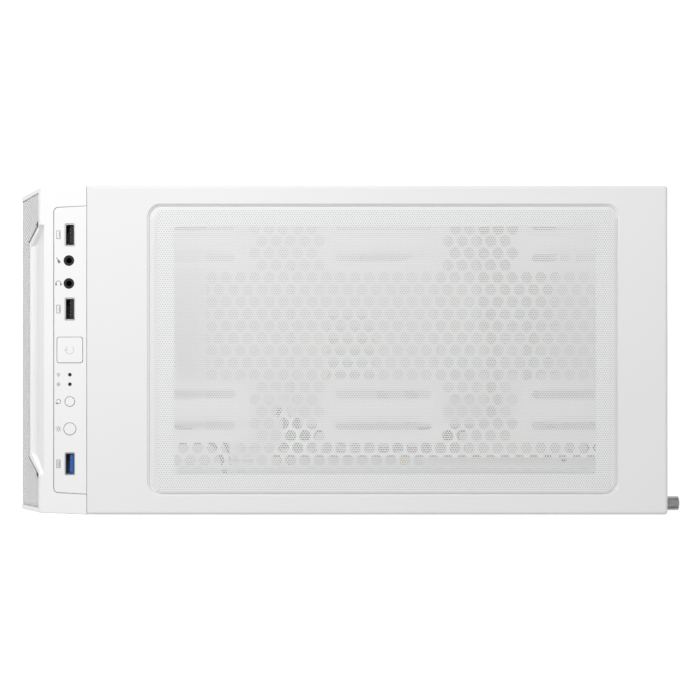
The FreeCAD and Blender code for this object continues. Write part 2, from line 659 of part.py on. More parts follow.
def port_board():
    """Circuit board under the port strip, with the three switches and the cable socket."""
    board = box((-88, 88), (PORT_Y - 7.5, PORT_Y + 7.5), (PORT_BOARD_Z, PORT_BOARD_Z + 1.6))
    switches = [box((x - 3, x + 3), (PORT_Y - 3, PORT_Y + 3), (PORT_BOARD_Z + 1.6, PORT_BOARD_Z + 5.0))
                for x in (POWER_X, RESET_X, LIGHT_X)]
    stubs = [rod("z", (x, PORT_Y, PORT_BOARD_Z + 5.0), 1.6, 0.7) for x in (POWER_X, RESET_X, LIGHT_X)]
    sockets = [box((x - 10, x + 10), (PORT_Y - 3, PORT_Y + 3), (PORT_BOARD_Z - 9, PORT_BOARD_Z))
               for x in (-50, 50)]
    return joined([board] + switches + stubs + sockets)


def usb_shell(x):
    """Folded steel shell of a port: open at the top, closed below."""
    top, low = HEIGHT - 0.5, HEIGHT - 13.9
    outer = between(rounded((x, PORT_Y), (13.7, 6.0), 0.8, low), rounded((x, PORT_Y), (13.7, 6.0), 0.8, top))
    inner = between(rounded((x, PORT_Y), (12.7, 5.1), 0.5, low + 0.6), rounded((x, PORT_Y), (12.7, 5.1), 0.5, top + 1))
    return outer.cut(inner)


def usb_tongue(x):
    """Plastic tongue inside a port, to one side, with its base."""
    base = box((x - 6.1, x + 6.1), (PORT_Y - 2.3, PORT_Y + 2.3), (HEIGHT - 13.25, HEIGHT - 11.4))
    tongue = box((x - 5.6, x + 5.6), (PORT_Y + 0.1, PORT_Y + 2.0), (HEIGHT - 11.4, HEIGHT - 1.6))
    return joined([base, tongue])


def usb_shells():
    return group([usb_shell(x) for x in USB2_X + (USB3_X,)])


def usb2_tongues():
    return group([usb_tongue(x) for x in USB2_X])


def usb3_tongue():
    return usb_tongue(USB3_X)


def audio_jacks():
    """Two jack sockets, each a black barrel with a bore, on a square foot."""
    made = []
    for x in AUDIO_X:
        barrel = rod("z", (x, AUDIO_Y, HEIGHT - 13.9), AUDIO_CUT_R - 0.15, 13.1)
        foot = box((x - 5, x + 5), (AUDIO_Y - 5, AUDIO_Y + 5), (HEIGHT - 13.9, HEIGHT - 5))
        made.append(joined([barrel, foot]).cut(rod("z", (x, AUDIO_Y, HEIGHT - 12.8), AUDIO_BORE_R, 20)))
    return group(made)


def indicator_lenses():
    """Two clear light guides from the board up to just below the strip's face."""
    return group([joined([rod("z", (x, PORT_Y, HEIGHT - 13.98), 1.0, 13.2),
                          rod("z", (x, PORT_Y, HEIGHT - 13.98), 2.2, 2)]) for x in INDICATOR_X])


def button(outline_low, outline_high, x, collar):
    """A cap with a stem that reaches the switch under it. Its collar keeps it in the strip."""
    cap = between(outline_low, outline_high)
    edges = [e for e in cap.Edges if e.CenterOfMass.z > HEIGHT]
    cap = cap.makeFillet(0.3, edges)
    stem = rod("z", (x, PORT_Y, HEIGHT - 7.7), 2.0, 4.0)
    return joined([cap, collar, stem])


CAP_TOP = HEIGHT + 0.25
COLLAR_Z = HEIGHT - STRIP_THICK - 1.5


def power_button():
    low = rounded((POWER_X, PORT_Y), (POWER_SIZE, POWER_SIZE), 1.5, COLLAR_Z + 1)
    high = rounded((POWER_X, PORT_Y), (POWER_SIZE, POWER_SIZE), 1.5, CAP_TOP)
    half = POWER_SIZE / 2 + 1
    collar = box((POWER_X - half, POWER_X + half), (PORT_Y - half, PORT_Y + half), (COLLAR_Z, COLLAR_Z + 1.2))
    return button(low, high, POWER_X, collar)


def round_button(x, radius):
    low, high = circle((x, PORT_Y), radius, COLLAR_Z + 1), circle((x, PORT_Y), radius, CAP_TOP)
    return button(low, high, x, rod("z", (x, PORT_Y, COLLAR_Z), radius + 0.9, 1.2))


def reset_button():
    return round_button(RESET_X, RESET_R)


def light_button():
    return round_button(LIGHT_X, LIGHT_R)


# ---------------------------------------------------------------- filters
FILTER_Y = (VENT_Y - FILTER_LENGTH / 2, VENT_Y + FILTER_LENGTH / 2)
MAGNET_Z = HEIGHT - RECESS_DEPTH
FILTER_INSET_FRONT, FILTER_INSET_REAR, FILTER_INSET_SIDE = 4.9, 3.1, 2.0


def top_filter_magnets():
    """Magnetic strips glued under the filter's edge: two long ones and two short ones between them."""
    z = (MAGNET_Z, MAGNET_Z + MAGNET_THICK)
    side = FILTER_WIDTH / 2 - FILTER_INSET_SIDE
    y = (FILTER_Y[0] + FILTER_INSET_FRONT, FILTER_Y[1] - FILTER_INSET_REAR)
    strips = [box((-side, -side + MAGNET_WIDTH), y, z), box((side - MAGNET_WIDTH, side), y, z)]
    across = (-side + MAGNET_WIDTH + 0.4, side - MAGNET_WIDTH - 0.4)
    strips += [box(across, (y[0], y[0] + MAGNET_WIDTH), z), box(across, (y[1] - MAGNET_WIDTH, y[1]), z)]
    return group(strips)


def top_filter_mesh():
    sheet = plate(rounded((0, (FILTER_Y[0] + FILTER_Y[1]) / 2), (FILTER_WIDTH, FILTER_LENGTH), FILTER_CORNER),
                  [], FILTER_MESH)
    return moved(sheet, z=MAGNET_Z + MAGNET_THICK)


def bottom_filter():
    """Slide-out frame under the power supply's intake, with a thin mesh and a finger tab at the back."""
    x = (PSU_MID_X - 59.0, PSU_MID_X + 59.0)
    y = (44.0, 197.0)
    frame = box(x, y, (9.6, 13.4)).cut(box((x[0] + 7, x[1] - 7), (y[0] + 7, y[1] - 9), (9, 14)))
    bars = [box((x[0] + 6, x[1] - 6), (m - 1, m + 1), (10, 12.4)) for m in (95, 145)]
    bars.append(box((PSU_MID_X - 1, PSU_MID_X + 1), (y[0] + 6, y[1] - 8), (10, 12.4)))
    tab = box((PSU_MID_X - 18, PSU_MID_X + 18), (y[1] - 1, y[1] + 1.4), (5.6, 12.2))
    net = box((x[0] + 6.5, x[1] - 6.5), (y[0] + 6.5, y[1] - 8.5), (12.4, 12.9))
    return joined([frame, tab, net] + bars)


# ---------------------------------------------------------------- side panel and door
def right_side_panel():
    """Steel side with a rear flange for two screws, a turned front edge and hooks inside."""
    z = (PANEL_LOW, PANEL_HIGH)
    skin = box((HALF - SHEET, HALF), (SEAM_Y + 0.5, REAR_Y), z)
    flange = box((88, HALF), (WALL_REAR + 0.02, REAR_Y), z)
    panel = skin.fuse(flange)
    corner = [e for e in panel.Edges
              if abs(e.CenterOfMass.x - HALF) < 1e-6 and abs(e.CenterOfMass.y - REAR_Y) < 1e-6]
    panel = panel.makeFillet(0.9, corner)
    hooks = [box((HALF - 1.6, HALF - SHEET), (y, y + 14), (z_hook, z_hook + 3))
             for y in (-140, -20, 100) for z_hook in (PANEL_LOW + 22, PANEL_HIGH - 26)]
    holes = [rod("y", (SCREW_X, WALL_REAR - 3, z_hole), 2.05, 10) for z_hole in SCREW_Z]
    return joined([panel] + hooks).cut(group(holes))


def thumb_screw(z):
    """Knurled screw with a cross slot, driven by hand or by a driver."""
    head = rod("y", (SCREW_X, REAR_Y + 0.35, z), SCREW_HEAD_R, 10.15)
    rims = [e for e in head.Edges if e.Curve.TypeId == "Part::GeomCircle"]
    head = head.makeChamfer(0.7, rims)
    shank = rod("y", (SCREW_X, REAR_Y - 8, z), SCREW_SHANK_R, 8.8)
    slots = [box((SCREW_X - 2.6, SCREW_X + 2.6), (207.6, 210), (z - 0.55, z + 0.55)),
             box((SCREW_X - 0.55, SCREW_X + 0.55), (207.6, 210), (z - 2.6, z + 2.6))]
    return head.fuse(shank).cut(group(slots))


def panel_screw_upper():
    return thumb_screw(SCREW_Z[0])


def panel_screw_lower():
    return thumb_screw(SCREW_Z[1])


DOOR_GLASS_Z = (PANEL_LOW + 5.0, PANEL_HIGH - 5.0)


def door_glass():
    y = (SEAM_Y + 0.5, REAR_Y - 0.6)
    outline = rounded(((y[0] + y[1]) / 2, (DOOR_GLASS_Z[0] + DOOR_GLASS_Z[1]) / 2),
                      (y[1] - y[0], DOOR_GLASS_Z[1] - DOOR_GLASS_Z[0]), 2.0)
    return facing_x(plate(outline, [], GLASS), -HALF)


def door_frame():
    """Steel edging on the glass, above and below, with the two hinge pins and two catch plates."""
    y = (SEAM_Y + 0.5, REAR_Y - 0.6)
    made = []
    for z_glass, out in ((DOOR_GLASS_Z[0], -1), (DOOR_GLASS_Z[1], 1)):
        rail_z = sorted((z_glass + out * 0.05, z_glass + out * 1.55))
        rail = box((-HALF, -HALF + GLASS), y, rail_z)
        back_z = sorted((z_glass - out * 9.0, z_glass + out * 1.55))
        back = box((-HALF + GLASS + 0.05, -HALF + GLASS + 0.75), (y[0] + 2, 190), back_z)
        link = box((-HALF + 1, -HALF + GLASS + 0.75), (y[0] + 2, 190), rail_z)
        start = z_glass + out * 1.5 if out > 0 else z_glass - 1.5 - 3.6
        pin = rod("z", (DOOR_AXIS_X, DOOR_AXIS_Y, start), DOOR_PIN_R, 3.6)
        made.append(joined([rail, back, link, pin]))
    return group(made)


def door_fittings():
    """Sockets for the door's pins, above and below, and two magnets that hold it shut."""
    made = []
    for z_glass, out in ((DOOR_GLASS_Z[0], -1), (DOOR_GLASS_Z[1], 1)):
        if out > 0:
            z = (z_glass + 1.9, HEIGHT - 14.05)
        else:
            z = (BASE_Z + 1.05, z_glass - 1.9)
        block = box((-102.6, -96.55), (191.5, WALL_REAR), z)
        made.append(block.cut(rod("z", (DOOR_AXIS_X, DOOR_AXIS_Y, z[0] - 10), DOOR_PIN_HOLE_R, z[1] - z[0] + 20)))
    made += [box((-98.5, -97.6), (-159, -147), (z - 8, z + 8)) for z in (70, 370)]
    return group(made)


# ---------------------------------------------------------------- fans
def fan_frame():
    """Square frame with a round bore, a motor plate and four struts, lying on the XY plane."""
    holes = [circle((sx * 52.5, sy * 52.5), FAN_HOLE_R) for sx in (-1, 1) for sy in (-1, 1)]
    body = plate(rounded((0, 0), (FAN_SIZE, FAN_SIZE), 5), holes + [circle((0, 0), FAN_BORE_R)], FAN_DEPTH)
    gap = box((-70, 70), (-70, 70), (4.5, FAN_DEPTH - 4.5)).cut(rod("z", (0, 0, 0), 60.5, FAN_DEPTH))
    posts = [rod("z", (sx * 52.5, sy * 52.5, 0), 4.5, FAN_DEPTH) for sx in (-1, 1) for sy in (-1, 1)]
    body = body.cut(gap.cut(group(posts)))
    plate_disc = rod("z", (0, 0, 0), FAN_HUB_R, 2)
    struts = [box((0, 60), (-2, 2), (0, 2)) for _ in range(4)]
    for i, strut in enumerate(struts):
        strut.rotate(Vector(0, 0, 0), AXES["z"], 45 + 90 * i)
    return joined([body, plate_disc] + struts)


def fan_rotor(radius=56.5, depth=21.0, hub=FAN_HUB_R, blades=9):
    """Hub with swept blades, on the XY plane."""
    cap = rod("z", (0, 0, 0), hub, depth)
    cap = cap.makeFillet(1.5, [e for e in cap.Edges if e.CenterOfMass.z > depth - 1e-6 and e.Length > 10])
    ring = rod("z", (0, 0, 1.0), radius, depth - 2.0).cut(rod("z", (0, 0, 0), hub - 1, depth))
    made = [cap]
    for i in range(blades):
        blade = box((hub - 3, radius + 5), (-depth, depth), (-0.9, 0.9))
        blade.rotate(Vector(0, 0, 0), AXES["x"], 38)
        blade.rotate(Vector(hub, 0, 0), AXES["z"], 14)
        blade.translate(Vector(0, 0, depth / 2))
        blade.rotate(Vector(0, 0, 0), AXES["z"], 360.0 * i / blades)
        made.append(blade.common(ring))
    return joined(made)


def place_fan(shape, x, y, z, axis="y"):
    """Stands a fan up so that its axis runs along Y, its plate at y and its depth towards -Y."""
    if axis == "y":
        shape.rotate(Vector(0, 0, 0), AXES["x"], 90)
    return moved(shape, x, y, z)


FRONT_FAN_BACK = WALL_FRONT + SHEET + 0.1 + FAN_DEPTH
REAR_FAN_BACK = WALL_REAR - SHEET - 0.1


def front_fan_frames():
    return group([place_fan(fan_frame(), FRONT_FAN_X, FRONT_FAN_BACK, z) for z in FRONT_FAN_Z])


def front_rotor(z):
    return place_fan(fan_rotor(), FRONT_FAN_X, FRONT_FAN_BACK - 3, z)


def front_fan_rotor_low():
    return front_rotor(FRONT_FAN_Z[0])


def front_fan_rotor_middle():
    return front_rotor(FRONT_FAN_Z[1])


def front_fan_rotor_high():
    return front_rotor(FRONT_FAN_Z[2])


def rear_fan_frame():
    return place_fan(fan_frame(), REAR_FAN[0], REAR_FAN_BACK, REAR_FAN[1])


def rear_fan_rotor():
    return place_fan(fan_rotor(), REAR_FAN[0], REAR_FAN_BACK - 3, REAR_FAN[1])


# ---------------------------------------------------------------- power supply
INLET_X, INLET_Z = -42.0, 62.0
ROCKER_X, ROCKER_Z, ROCKER_Y = 0.0, 62.0, 195.2


def psu_housing():
    """Sheet steel box with a guarded fan opening below and a grille of holes at the back."""
    outer = box(PSU_X, PSU_Y, PSU_Z)
    inner = box((PSU_X[0] + 1, PSU_X[1] - 1), (PSU_Y[0] + 1, PSU_Y[1] - 1), (PSU_Z[0] + 1, PSU_Z[1] - 1))
    shell = outer.cut(inner).cut(rod("z", (PSU_MID_X, PSU_FAN_Y, PSU_Z[0] - 1), 62, 3))
    guard = [rod("z", (PSU_MID_X, PSU_FAN_Y, PSU_Z[0]), r + 0.8, 1).cut(
        rod("z", (PSU_MID_X, PSU_FAN_Y, PSU_Z[0] - 1), r - 0.8, 3)) for r in (22, 34, 46)]
    bars = [box((PSU_MID_X - 63, PSU_MID_X + 63), (PSU_FAN_Y - 1, PSU_FAN_Y + 1), (PSU_Z[0], PSU_Z[0] + 1)),
            box((PSU_MID_X - 1, PSU_MID_X + 1), (PSU_FAN_Y - 63, PSU_FAN_Y + 63), (PSU_Z[0], PSU_Z[0] + 1))]
    cuts = [box((INLET_X - 13.8, INLET_X + 13.8), (PSU_Y[1] - 3, PSU_Y[1] + 1), (INLET_Z - 10.1, INLET_Z + 10.1)),
            box((ROCKER_X - 7.2, ROCKER_X + 7.2), (PSU_Y[1] - 3, PSU_Y[1] + 1), (ROCKER_Z - 10.1, ROCKER_Z + 10.1))]
    vent = hex_centres(9, 3, 6.4, 5.6, lambda u, v, k: abs(u) < 56)
    cuts += [rod("y", (PSU_MID_X + u, PSU_Y[1] - 3, 36 + v), 2.5, 5) for u, v in vent]
    cuts += [box((x - 9, x + 9), (PSU_Y[0] - 1, PSU_Y[0] + 3), (z - 5, z + 5))
             for x in (-70, -45, -20, 5, 30) for z in (48, 76)]
    return joined([shell] + guard + bars).cut(group(cuts))


def psu_sockets():
    """Block of cable sockets on the power supply's inner end."""
    made = []
    for x in (-70, -45, -20, 5, 30):
        for z in (48, 76):
            body = box((x - 8.8, x + 8.8), (PSU_Y[0] - 1.5, PSU_Y[0] + 8), (z - 4.8, z + 4.8))
            holes = [box((x + dx - 1.7, x + dx + 1.7), (PSU_Y[0] - 2, PSU_Y[0] + 6), (z + dz - 1.7, z + dz + 1.7))
                     for dx in (-6, -2, 2, 6) for dz in (-2.2, 2.2)]
            made.append(body.cut(group(holes)))
    return group(made)


def psu_inlet():
    """Mains inlet with three blades in a recess, and the bezel of the switch beside it."""
    y = (172.0, PSU_Y[1] - 0.02)
    body = box((INLET_X - 13.6, INLET_X + 13.6), y, (INLET_Z - 9.9, INLET_Z + 9.9))
    rim = box((INLET_X - 15.5, INLET_X + 15.5), (PSU_Y[1] + 0.02, PSU_Y[1] + 1.6), (INLET_Z - 11.6, INLET_Z + 11.6))
    well = [(INLET_X - 12, INLET_Z - 7.5), (INLET_X + 12, INLET_Z - 7.5), (INLET_X + 12, INLET_Z + 3.5),
            (INLET_X + 8, INLET_Z + 7.5), (INLET_X - 8, INLET_Z + 7.5), (INLET_X - 12, INLET_Z + 3.5)]
    joint = box((INLET_X - 13.6, INLET_X + 13.6), (PSU_Y[1] - 1, PSU_Y[1] + 1), (INLET_Z - 9.9, INLET_Z + 9.9))
    inlet = joined([body, rim, joint]).cut(prism_y(well, (180, 200)))
    blades = [box((INLET_X + dx - 1, INLET_X + dx + 1), (179, 192), (INLET_Z + dz - 2, INLET_Z + dz + 2))
              for dx, dz in ((-7, -2), (0, 1.6), (7, -2))]
    bezel = box((ROCKER_X - 7, ROCKER_X + 7), (184, PSU_Y[1] + 1), (ROCKER_Z - 9.9, ROCKER_Z + 9.9))
    lip = box((ROCKER_X - 8.6, ROCKER_X + 8.6), (PSU_Y[1] + 0.02, PSU_Y[1] + 1.2), (ROCKER_Z - 11.4, ROCKER_Z + 11.4))
    well = box((ROCKER_X - 5.3, ROCKER_X + 5.3), (186, 200), (ROCKER_Z - 7.6, ROCKER_Z + 7.6))
    return group([joined([inlet] + blades), joined([bezel, lip]).cut(well)])


def psu_rocker():
    """Two-position rocker, pressed in at its upper end."""
    points = [(197.2, ROCKER_Z - 6.6), (195.9, ROCKER_Z), (197.2, ROCKER_Z + 6.6),
              (193.4, ROCKER_Z + 6.9), (190.0, ROCKER_Z + 2.2), (190.0, ROCKER_Z - 2.2), (193.4, ROCKER_Z - 6.9)]
    cap = prism_x(points, (ROCKER_X - 4.6, ROCKER_X + 4.6))
    cap.rotate(Vector(ROCKER_X, ROCKER_Y, ROCKER_Z), AXES["x"], 7)
    return cap.fuse(rod("x", (ROCKER_X - 5.0, ROCKER_Y, ROCKER_Z), 1.0, 10.0))


def psu_fan_rotor():
    shape = fan_rotor(59.0, 18.0, 19.0, 11)
    return moved(shape, PSU_MID_X, PSU_FAN_Y, PSU_Z[0] + 3)


# ---------------------------------------------------------------- motherboard and its parts


def motherboard():
    """Printed board with nine fixing holes."""
    holes = [circle(place, 1.95) for place in board_holes()]
    outline = rounded(((BOARD_Y[0] + BOARD_Y[1]) / 2, (BOARD_Z[0] + BOARD_Z[1]) / 2),
                      (BOARD_Y[1] - BOARD_Y[0], BOARD_Z[1] - BOARD_Z[0]), 2)
    return facing_x(plate(outline, holes, BOARD_THICK), BOARD_X)


def on_board(y, z, height):
    """A block standing on the motherboard, towards the door."""
    return box((BOARD_X - 0.05 - height, BOARD_X - 0.05), y, z)


CARD_SLOT_Z = SLOT_TOP_Z - SLOT_PITCH


def board_sockets():
    """Black sockets: processor frame, four memory slots, three card slots, power and data headers."""
    frame = on_board((CPU_Y - 33, CPU_Y + 33), (CPU_Z - 40, CPU_Z + 40), 3.2)
    made = [frame]
    for y in memory_places():
        made.append(on_board((y - 3.2, y + 3.2), (CPU_Z - 70, CPU_Z + 72), 4.0))
    for z, length in ((CARD_SLOT_Z, 89), (CARD_SLOT_Z - 2 * SLOT_PITCH, 25), (CARD_SLOT_Z - 4 * SLOT_PITCH, 89)):
        made.append(on_board((146 - length, 146), (z - 3.7, z + 3.7), 11.0))
    made.append(on_board((-45, -34), (300, 352), 12))
    made.append(on_board((150, 168), (424, 433), 12))
    made += [on_board((-44, -28), (z, z + 14), 9) for z in (180, 200, 220)]
    made.append(on_board((-30, 120), (141, 147), 8))
    return group(made)


def memory_places():
    return [CPU_Y - 58 - 9.5 * i for i in range(4)]


def memory_modules():
    """Two memory modules with finned heat spreaders."""
    made = []
    for i in (1, 3):
        y = memory_places()[i]
        blade = box((BOARD_X - 38, BOARD_X - 4.2), (y - 2.6, y + 2.6), (CPU_Z - 66, CPU_Z + 67))
        notches = [box((BOARD_X - 39, BOARD_X - 34), (y - 3, y + 3), (CPU_Z - 60 + 12 * k, CPU_Z - 54 + 12 * k))
                   for k in range(11)]
        made.append(blade.cut(group(notches)))
    return group(made)


def board_heatsinks():
    """Finned blocks over the power stages and the chipset."""
    made = []
    for y, z in (((146, 160), (CPU_Z - 52, CPU_Z + 46)), ((CPU_Y - 34, CPU_Y + 30), (CPU_Z + 52, CPU_Z + 76)),
                 ((-20, 40), (150, 200))):
        block = on_board(y, z, 16)
        count = int((z[1] - z[0]) / 7)
        cuts = [box((BOARD_X - 17, BOARD_X - 8), (y[0] - 1, y[1] + 1), (z[0] + 3 + 7 * k, z[0] + 6 + 7 * k))
                for k in range(count)]
        made.append(block.cut(group(cuts)))
    return group(made)


PORT_BLOCK_Y = (166.0, WALL_REAR - SHEET + 0.3)


def rear_ports():
    """Metal-shelled sockets at the back of the motherboard, each with its opening."""
    made = []
    for low, high, kind in ((283, 298, "audio"), (300, 315, "audio"), (319, 336, "net"), (340, 355, "usb"),
                            (359, 374, "usb"), (378, 393, "usb"), (397, 412, "video")):
        block = box((BOARD_X - 32, BOARD_X - 0.05), PORT_BLOCK_Y, (low, high))
        cuts = []
        y = (PORT_BLOCK_Y[1] - 12, PORT_BLOCK_Y[1] + 1)
        mid = (low + high) / 2
        if kind == "audio":
            cuts = [rod("y", (BOARD_X - d, y[0], mid), 1.8, 14) for d in (6, 16, 26)]
        if kind == "usb":
            cuts = [box((BOARD_X - d - 2.6, BOARD_X - d + 2.6), y, (mid - 6.4, mid + 6.4)) for d in (8, 22)]
        if kind == "video":
            cuts = [box((BOARD_X - 8, BOARD_X - 3), y, (mid - 6.8, mid + 6.8)),
                    box((BOARD_X - 26, BOARD_X - 19), y, (mid - 6.2, mid + 6.2))]
        if kind == "net":
            made += network_block((low, high))
            continue
        block = block.cut(group(cuts))
        if kind in ("usb", "video"):
            block = block.fuse(group([port_tongue(cut, y) for cut in cuts]))
        made.append(block)
    return group(made)


def network_block(z):
    """Two network sockets side by side: a rear block with a floor, a roof and three walls before it."""
    mouth = (PORT_BLOCK_Y[1] - 12, PORT_BLOCK_Y[1])
    x = (BOARD_X - 32, BOARD_X - 0.05)
    mid = (z[0] + z[1]) / 2
    wall_z = (mid - 6.5 + 0.02, mid + 6.5 - 0.02)
    walls = [box(ends, mouth, wall_z)
             for ends in ((x[0], BOARD_X - 29), (BOARD_X - 18, BOARD_X - 14), (BOARD_X - 3, x[1]))]
    return [box(x, (PORT_BLOCK_Y[0], mouth[0] - 0.02), z), box(x, mouth, (z[0], mid - 6.5)),
            box(x, mouth, (mid + 6.5, z[1]))] + walls


def port_tongue(cut, y):
    """Tongue that stands in the middle of a flat socket."""
    size = cut.BoundBox
    mid = (size.XMin + size.XMax) / 2
    half = (size.XMax - size.XMin) * 0.18
    return box((mid - half, mid + half), (y[0] - 0.5, y[1] - 2), (size.ZMin + 1.2, size.ZMax - 1.2))


def io_shield():
    """Thin plate that fills the port opening, cut out round each socket."""
    x = (IO_CUT[0][0] + 0.1, IO_CUT[0][1] - 0.1)
    z = (IO_CUT[1][0] + 0.1, IO_CUT[1][1] - 0.1)
    holes = [rounded(((BOARD_X - 16), (low + high) / 2), (32.6, high - low + 0.6), 0)
             for low, high in ((283, 298), (300, 315), (319, 336), (340, 355), (359, 374), (378, 393), (397, 412))]
    outline = rounded(((x[0] + x[1]) / 2, (z[0] + z[1]) / 2), (x[1] - x[0], z[1] - z[0]), 0)
    return facing_y(plate(outline, holes, 0.6), WALL_REAR - 0.1)


def slot_covers():
    """Five blanking plates with their screws, over the unused card slots."""
    made = []
    for i, z in enumerate(rear_slots()):
        if i in (1, 2):
            continue
        made.append(box((-45, 65.2), (WALL_REAR - SHEET - 0.95, WALL_REAR - SHEET - 0.05), (z - 9.2, z + 9.2))
                    .cut(group([box((8 - 44, 8 + 44), (190, 198), (z + dz - 1.2, z + dz + 1.2)) for dz in (-3, 3)])))
    return group(made)


# ---------------------------------------------------------------- processor cooler
COOLER_X = (-86.0, 14.0)
COOLER_Y = (CPU_Y - 25.0, CPU_Y + 25.0)


def cooler_fins():
    """Stack of thin fins threaded on heat pipes, with a base on the processor."""
    fins, count = [], 34
    step = (COOLER_X[1] - COOLER_X[0]) / (count - 1)
    for i in range(count):
        x = COOLER_X[0] + i * step
        fins.append(box((x, x + 0.7), COOLER_Y, (CPU_Z - 60, CPU_Z + 60)))
    pipes = [rod("x", (COOLER_X[0] - 3, CPU_Y + dy, CPU_Z + dz), 3, BOARD_X - 14 - COOLER_X[0] + 3)
             for dy, dz in ((-12, -30), (12, -16), (-12, 16), (12, 30))]
    base = box((BOARD_X - 18, BOARD_X - 4.2), (CPU_Y - 20, CPU_Y + 20), (CPU_Z - 34, CPU_Z + 34))
    return joined(fins + pipes + [base])


COOLER_FAN = ((COOLER_X[0] + COOLER_X[1]) / 2 + 8, COOLER_Y[0] - 0.5, CPU_Z)


def cooler_fan_frame():
    return place_fan(fan_frame(), *COOLER_FAN)


def cooler_fan_rotor():
    return place_fan(fan_rotor(), COOLER_FAN[0], COOLER_FAN[1] - 3, COOLER_FAN[2])


# ---------------------------------------------------------------- graphics card
CARD_X = (-58.0, 54.6)
CARD_Y = (WALL_REAR - 3.0 - CARD_LENGTH, WALL_REAR - 3.0)
CARD_Z = CARD_SLOT_Z
CARD_FAN_Y = (CARD_Y[0] + 60.0, CARD_Y[0] + 166.0)
CARD_MID_X = -2.0


def card_board():
    """Printed board of the graphics card, with its finned heat sink below."""
    board = box(CARD_X, CARD_Y, (CARD_Z - 0.8, CARD_Z + 0.8))
    plate_low = box((CARD_X[0] + 6, CARD_X[1] - 8), (CARD_Y[0] + 8, CARD_Y[1] - 6), (CARD_Z - 5, CARD_Z - 0.8))
    fins = [box((CARD_X[0] + 6, CARD_X[1] - 8), (y, y + 1.2), (CARD_Z - 19, CARD_Z - 4))
            for y in [CARD_Y[0] + 10 + 6 * i for i in range(36)]]
    return joined([board, plate_low] + fins)


def card_shroud():
    """Plastic shroud round the heat sink with two round fan openings below."""
    z = (CARD_Z - 40.0, CARD_Z - 1.0)
    outer = plate(rounded(((CARD_X[0] + CARD_X[1]) / 2 - 2, (CARD_Y[0] + CARD_Y[1]) / 2),
                          (CARD_X[1] - CARD_X[0] - 4, CARD_LENGTH - 4), 6), [], z[1] - z[0])
    outer.translate(Vector(0, 0, z[0]))
    inner = box((CARD_X[0] + 4, CARD_X[1] - 7), (CARD_Y[0] + 5, CARD_Y[1] - 5), (z[0] + 2.5, z[1] + 1))
    shell = outer.cut(inner)
    mouths = [rod("z", (CARD_MID_X, y, z[0] - 1), 46, 5) for y in CARD_FAN_Y]
    crosses = []
    for y in CARD_FAN_Y:
        crosses.append(rod("z", (CARD_MID_X, y, CARD_Z - 21.5), 15, 1.5))
        crosses.append(box((CARD_X[0] + 3, CARD_X[1] - 6), (y - 2, y + 2), (CARD_Z - 21.5, CARD_Z - 20.0)))
    return joined([shell.cut(group(mouths))] + crosses)


def card_rotor(y):
    return moved(fan_rotor(44.5, 13.0, 15.0, 11), CARD_MID_X, y, CARD_Z - 38.5)


def card_fan_rotor_front():
    return card_rotor(CARD_FAN_Y[0])


def card_fan_rotor_rear():
    return card_rotor(CARD_FAN_Y[1])


def card_metalwork():
    """Slotted cover on the upper side of the card, and its two-slot bracket with three picture sockets."""
    slots = [rounded((CARD_MID_X - 20 + 8 * i, CARD_Y[0] + 42), (4, 34), 1.8) for i in range(6)]
    cover = plate(rounded(((CARD_X[0] + 52.0) / 2, (CARD_Y[0] + CARD_Y[1]) / 2),
                          (52.0 - CARD_X[0], CARD_LENGTH - 2), 5), slots, 1.5)
    z = (CARD_Z - SLOT_PITCH - 9.2, CARD_Z + 9.2)
    face = box((-45, 65.2), (WALL_REAR - SHEET - 0.95, WALL_REAR - SHEET - 0.05), z)
    vents = [box((x, x + 4), (190, 199), (CARD_Z - 27, CARD_Z - 14)) for x in range(-32, 48, 8)]
    socket_y = (WALL_REAR - SHEET - 2.9, WALL_REAR - SHEET - 0.05)
    wells = [box((x + 1, x + 16), (socket_y[1] - 2.2, 199), (CARD_Z - 7.2, CARD_Z - 2.3)) for x in (-28, -4, 20)]
    shells = [box((x, x + 17), socket_y, (CARD_Z - 8, CARD_Z - 1.5)) for x in (-28, -4, 20)]
    tongues = [box((x + 3, x + 14), (socket_y[0] + 0.5, socket_y[1] - 0.3), (CARD_Z - 5.4, CARD_Z - 4.1))
               for x in (-28, -4, 20)]
    bracket = joined([face] + shells).cut(group(vents + wells)).fuse(group(tongues))
    return group([moved(cover, z=CARD_Z + 1.6), bracket])


# ---------------------------------------------------------------- drives and cables
CAGE_X = (-50.4, 54.4)


def drive_cage():
    """Folded cage for full-size drives, open at both ends."""
    y, z = (-104.0, 48.0), (BASE_Z + SHEET + 0.1, 92.0)
    outer = box(CAGE_X, y, z)
    inner = box((CAGE_X[0] + 1, CAGE_X[1] - 1), (y[0] - 1, y[1] + 1), (z[0] + 1, z[1] - 1))
    windows = [box((CAGE_X[0] - 1, CAGE_X[1] + 1), (y_mid - 22, y_mid + 22), (z_mid - 3, z_mid + 3))
               for y_mid in (-62, 6) for z_mid in (26, 44, 66, 82)]
    roof = [rod("z", (2 + dx, -28 + dy, z[1] - 2), 20, 4) for dx in (-24, 24) for dy in (-40, 40)]
    return outer.cut(inner).cut(group(windows + roof))


def hard_drive():
    """Full-size drive with a raised lid and a round boss over the spindle."""
    x = (CAGE_X[0] + 1.6, CAGE_X[1] - 1.6)
    y = (-100.0, 46.0)
    body = box(x, y, (30, 53))
    lid = plate(rounded(((x[0] + x[1]) / 2, -27), (92, 138), 8), [], 2.4)
    boss = rod("z", ((x[0] + x[1]) / 2, -40, 53), 14, 3)
    return joined([body, moved(lid, z=52.6), boss])


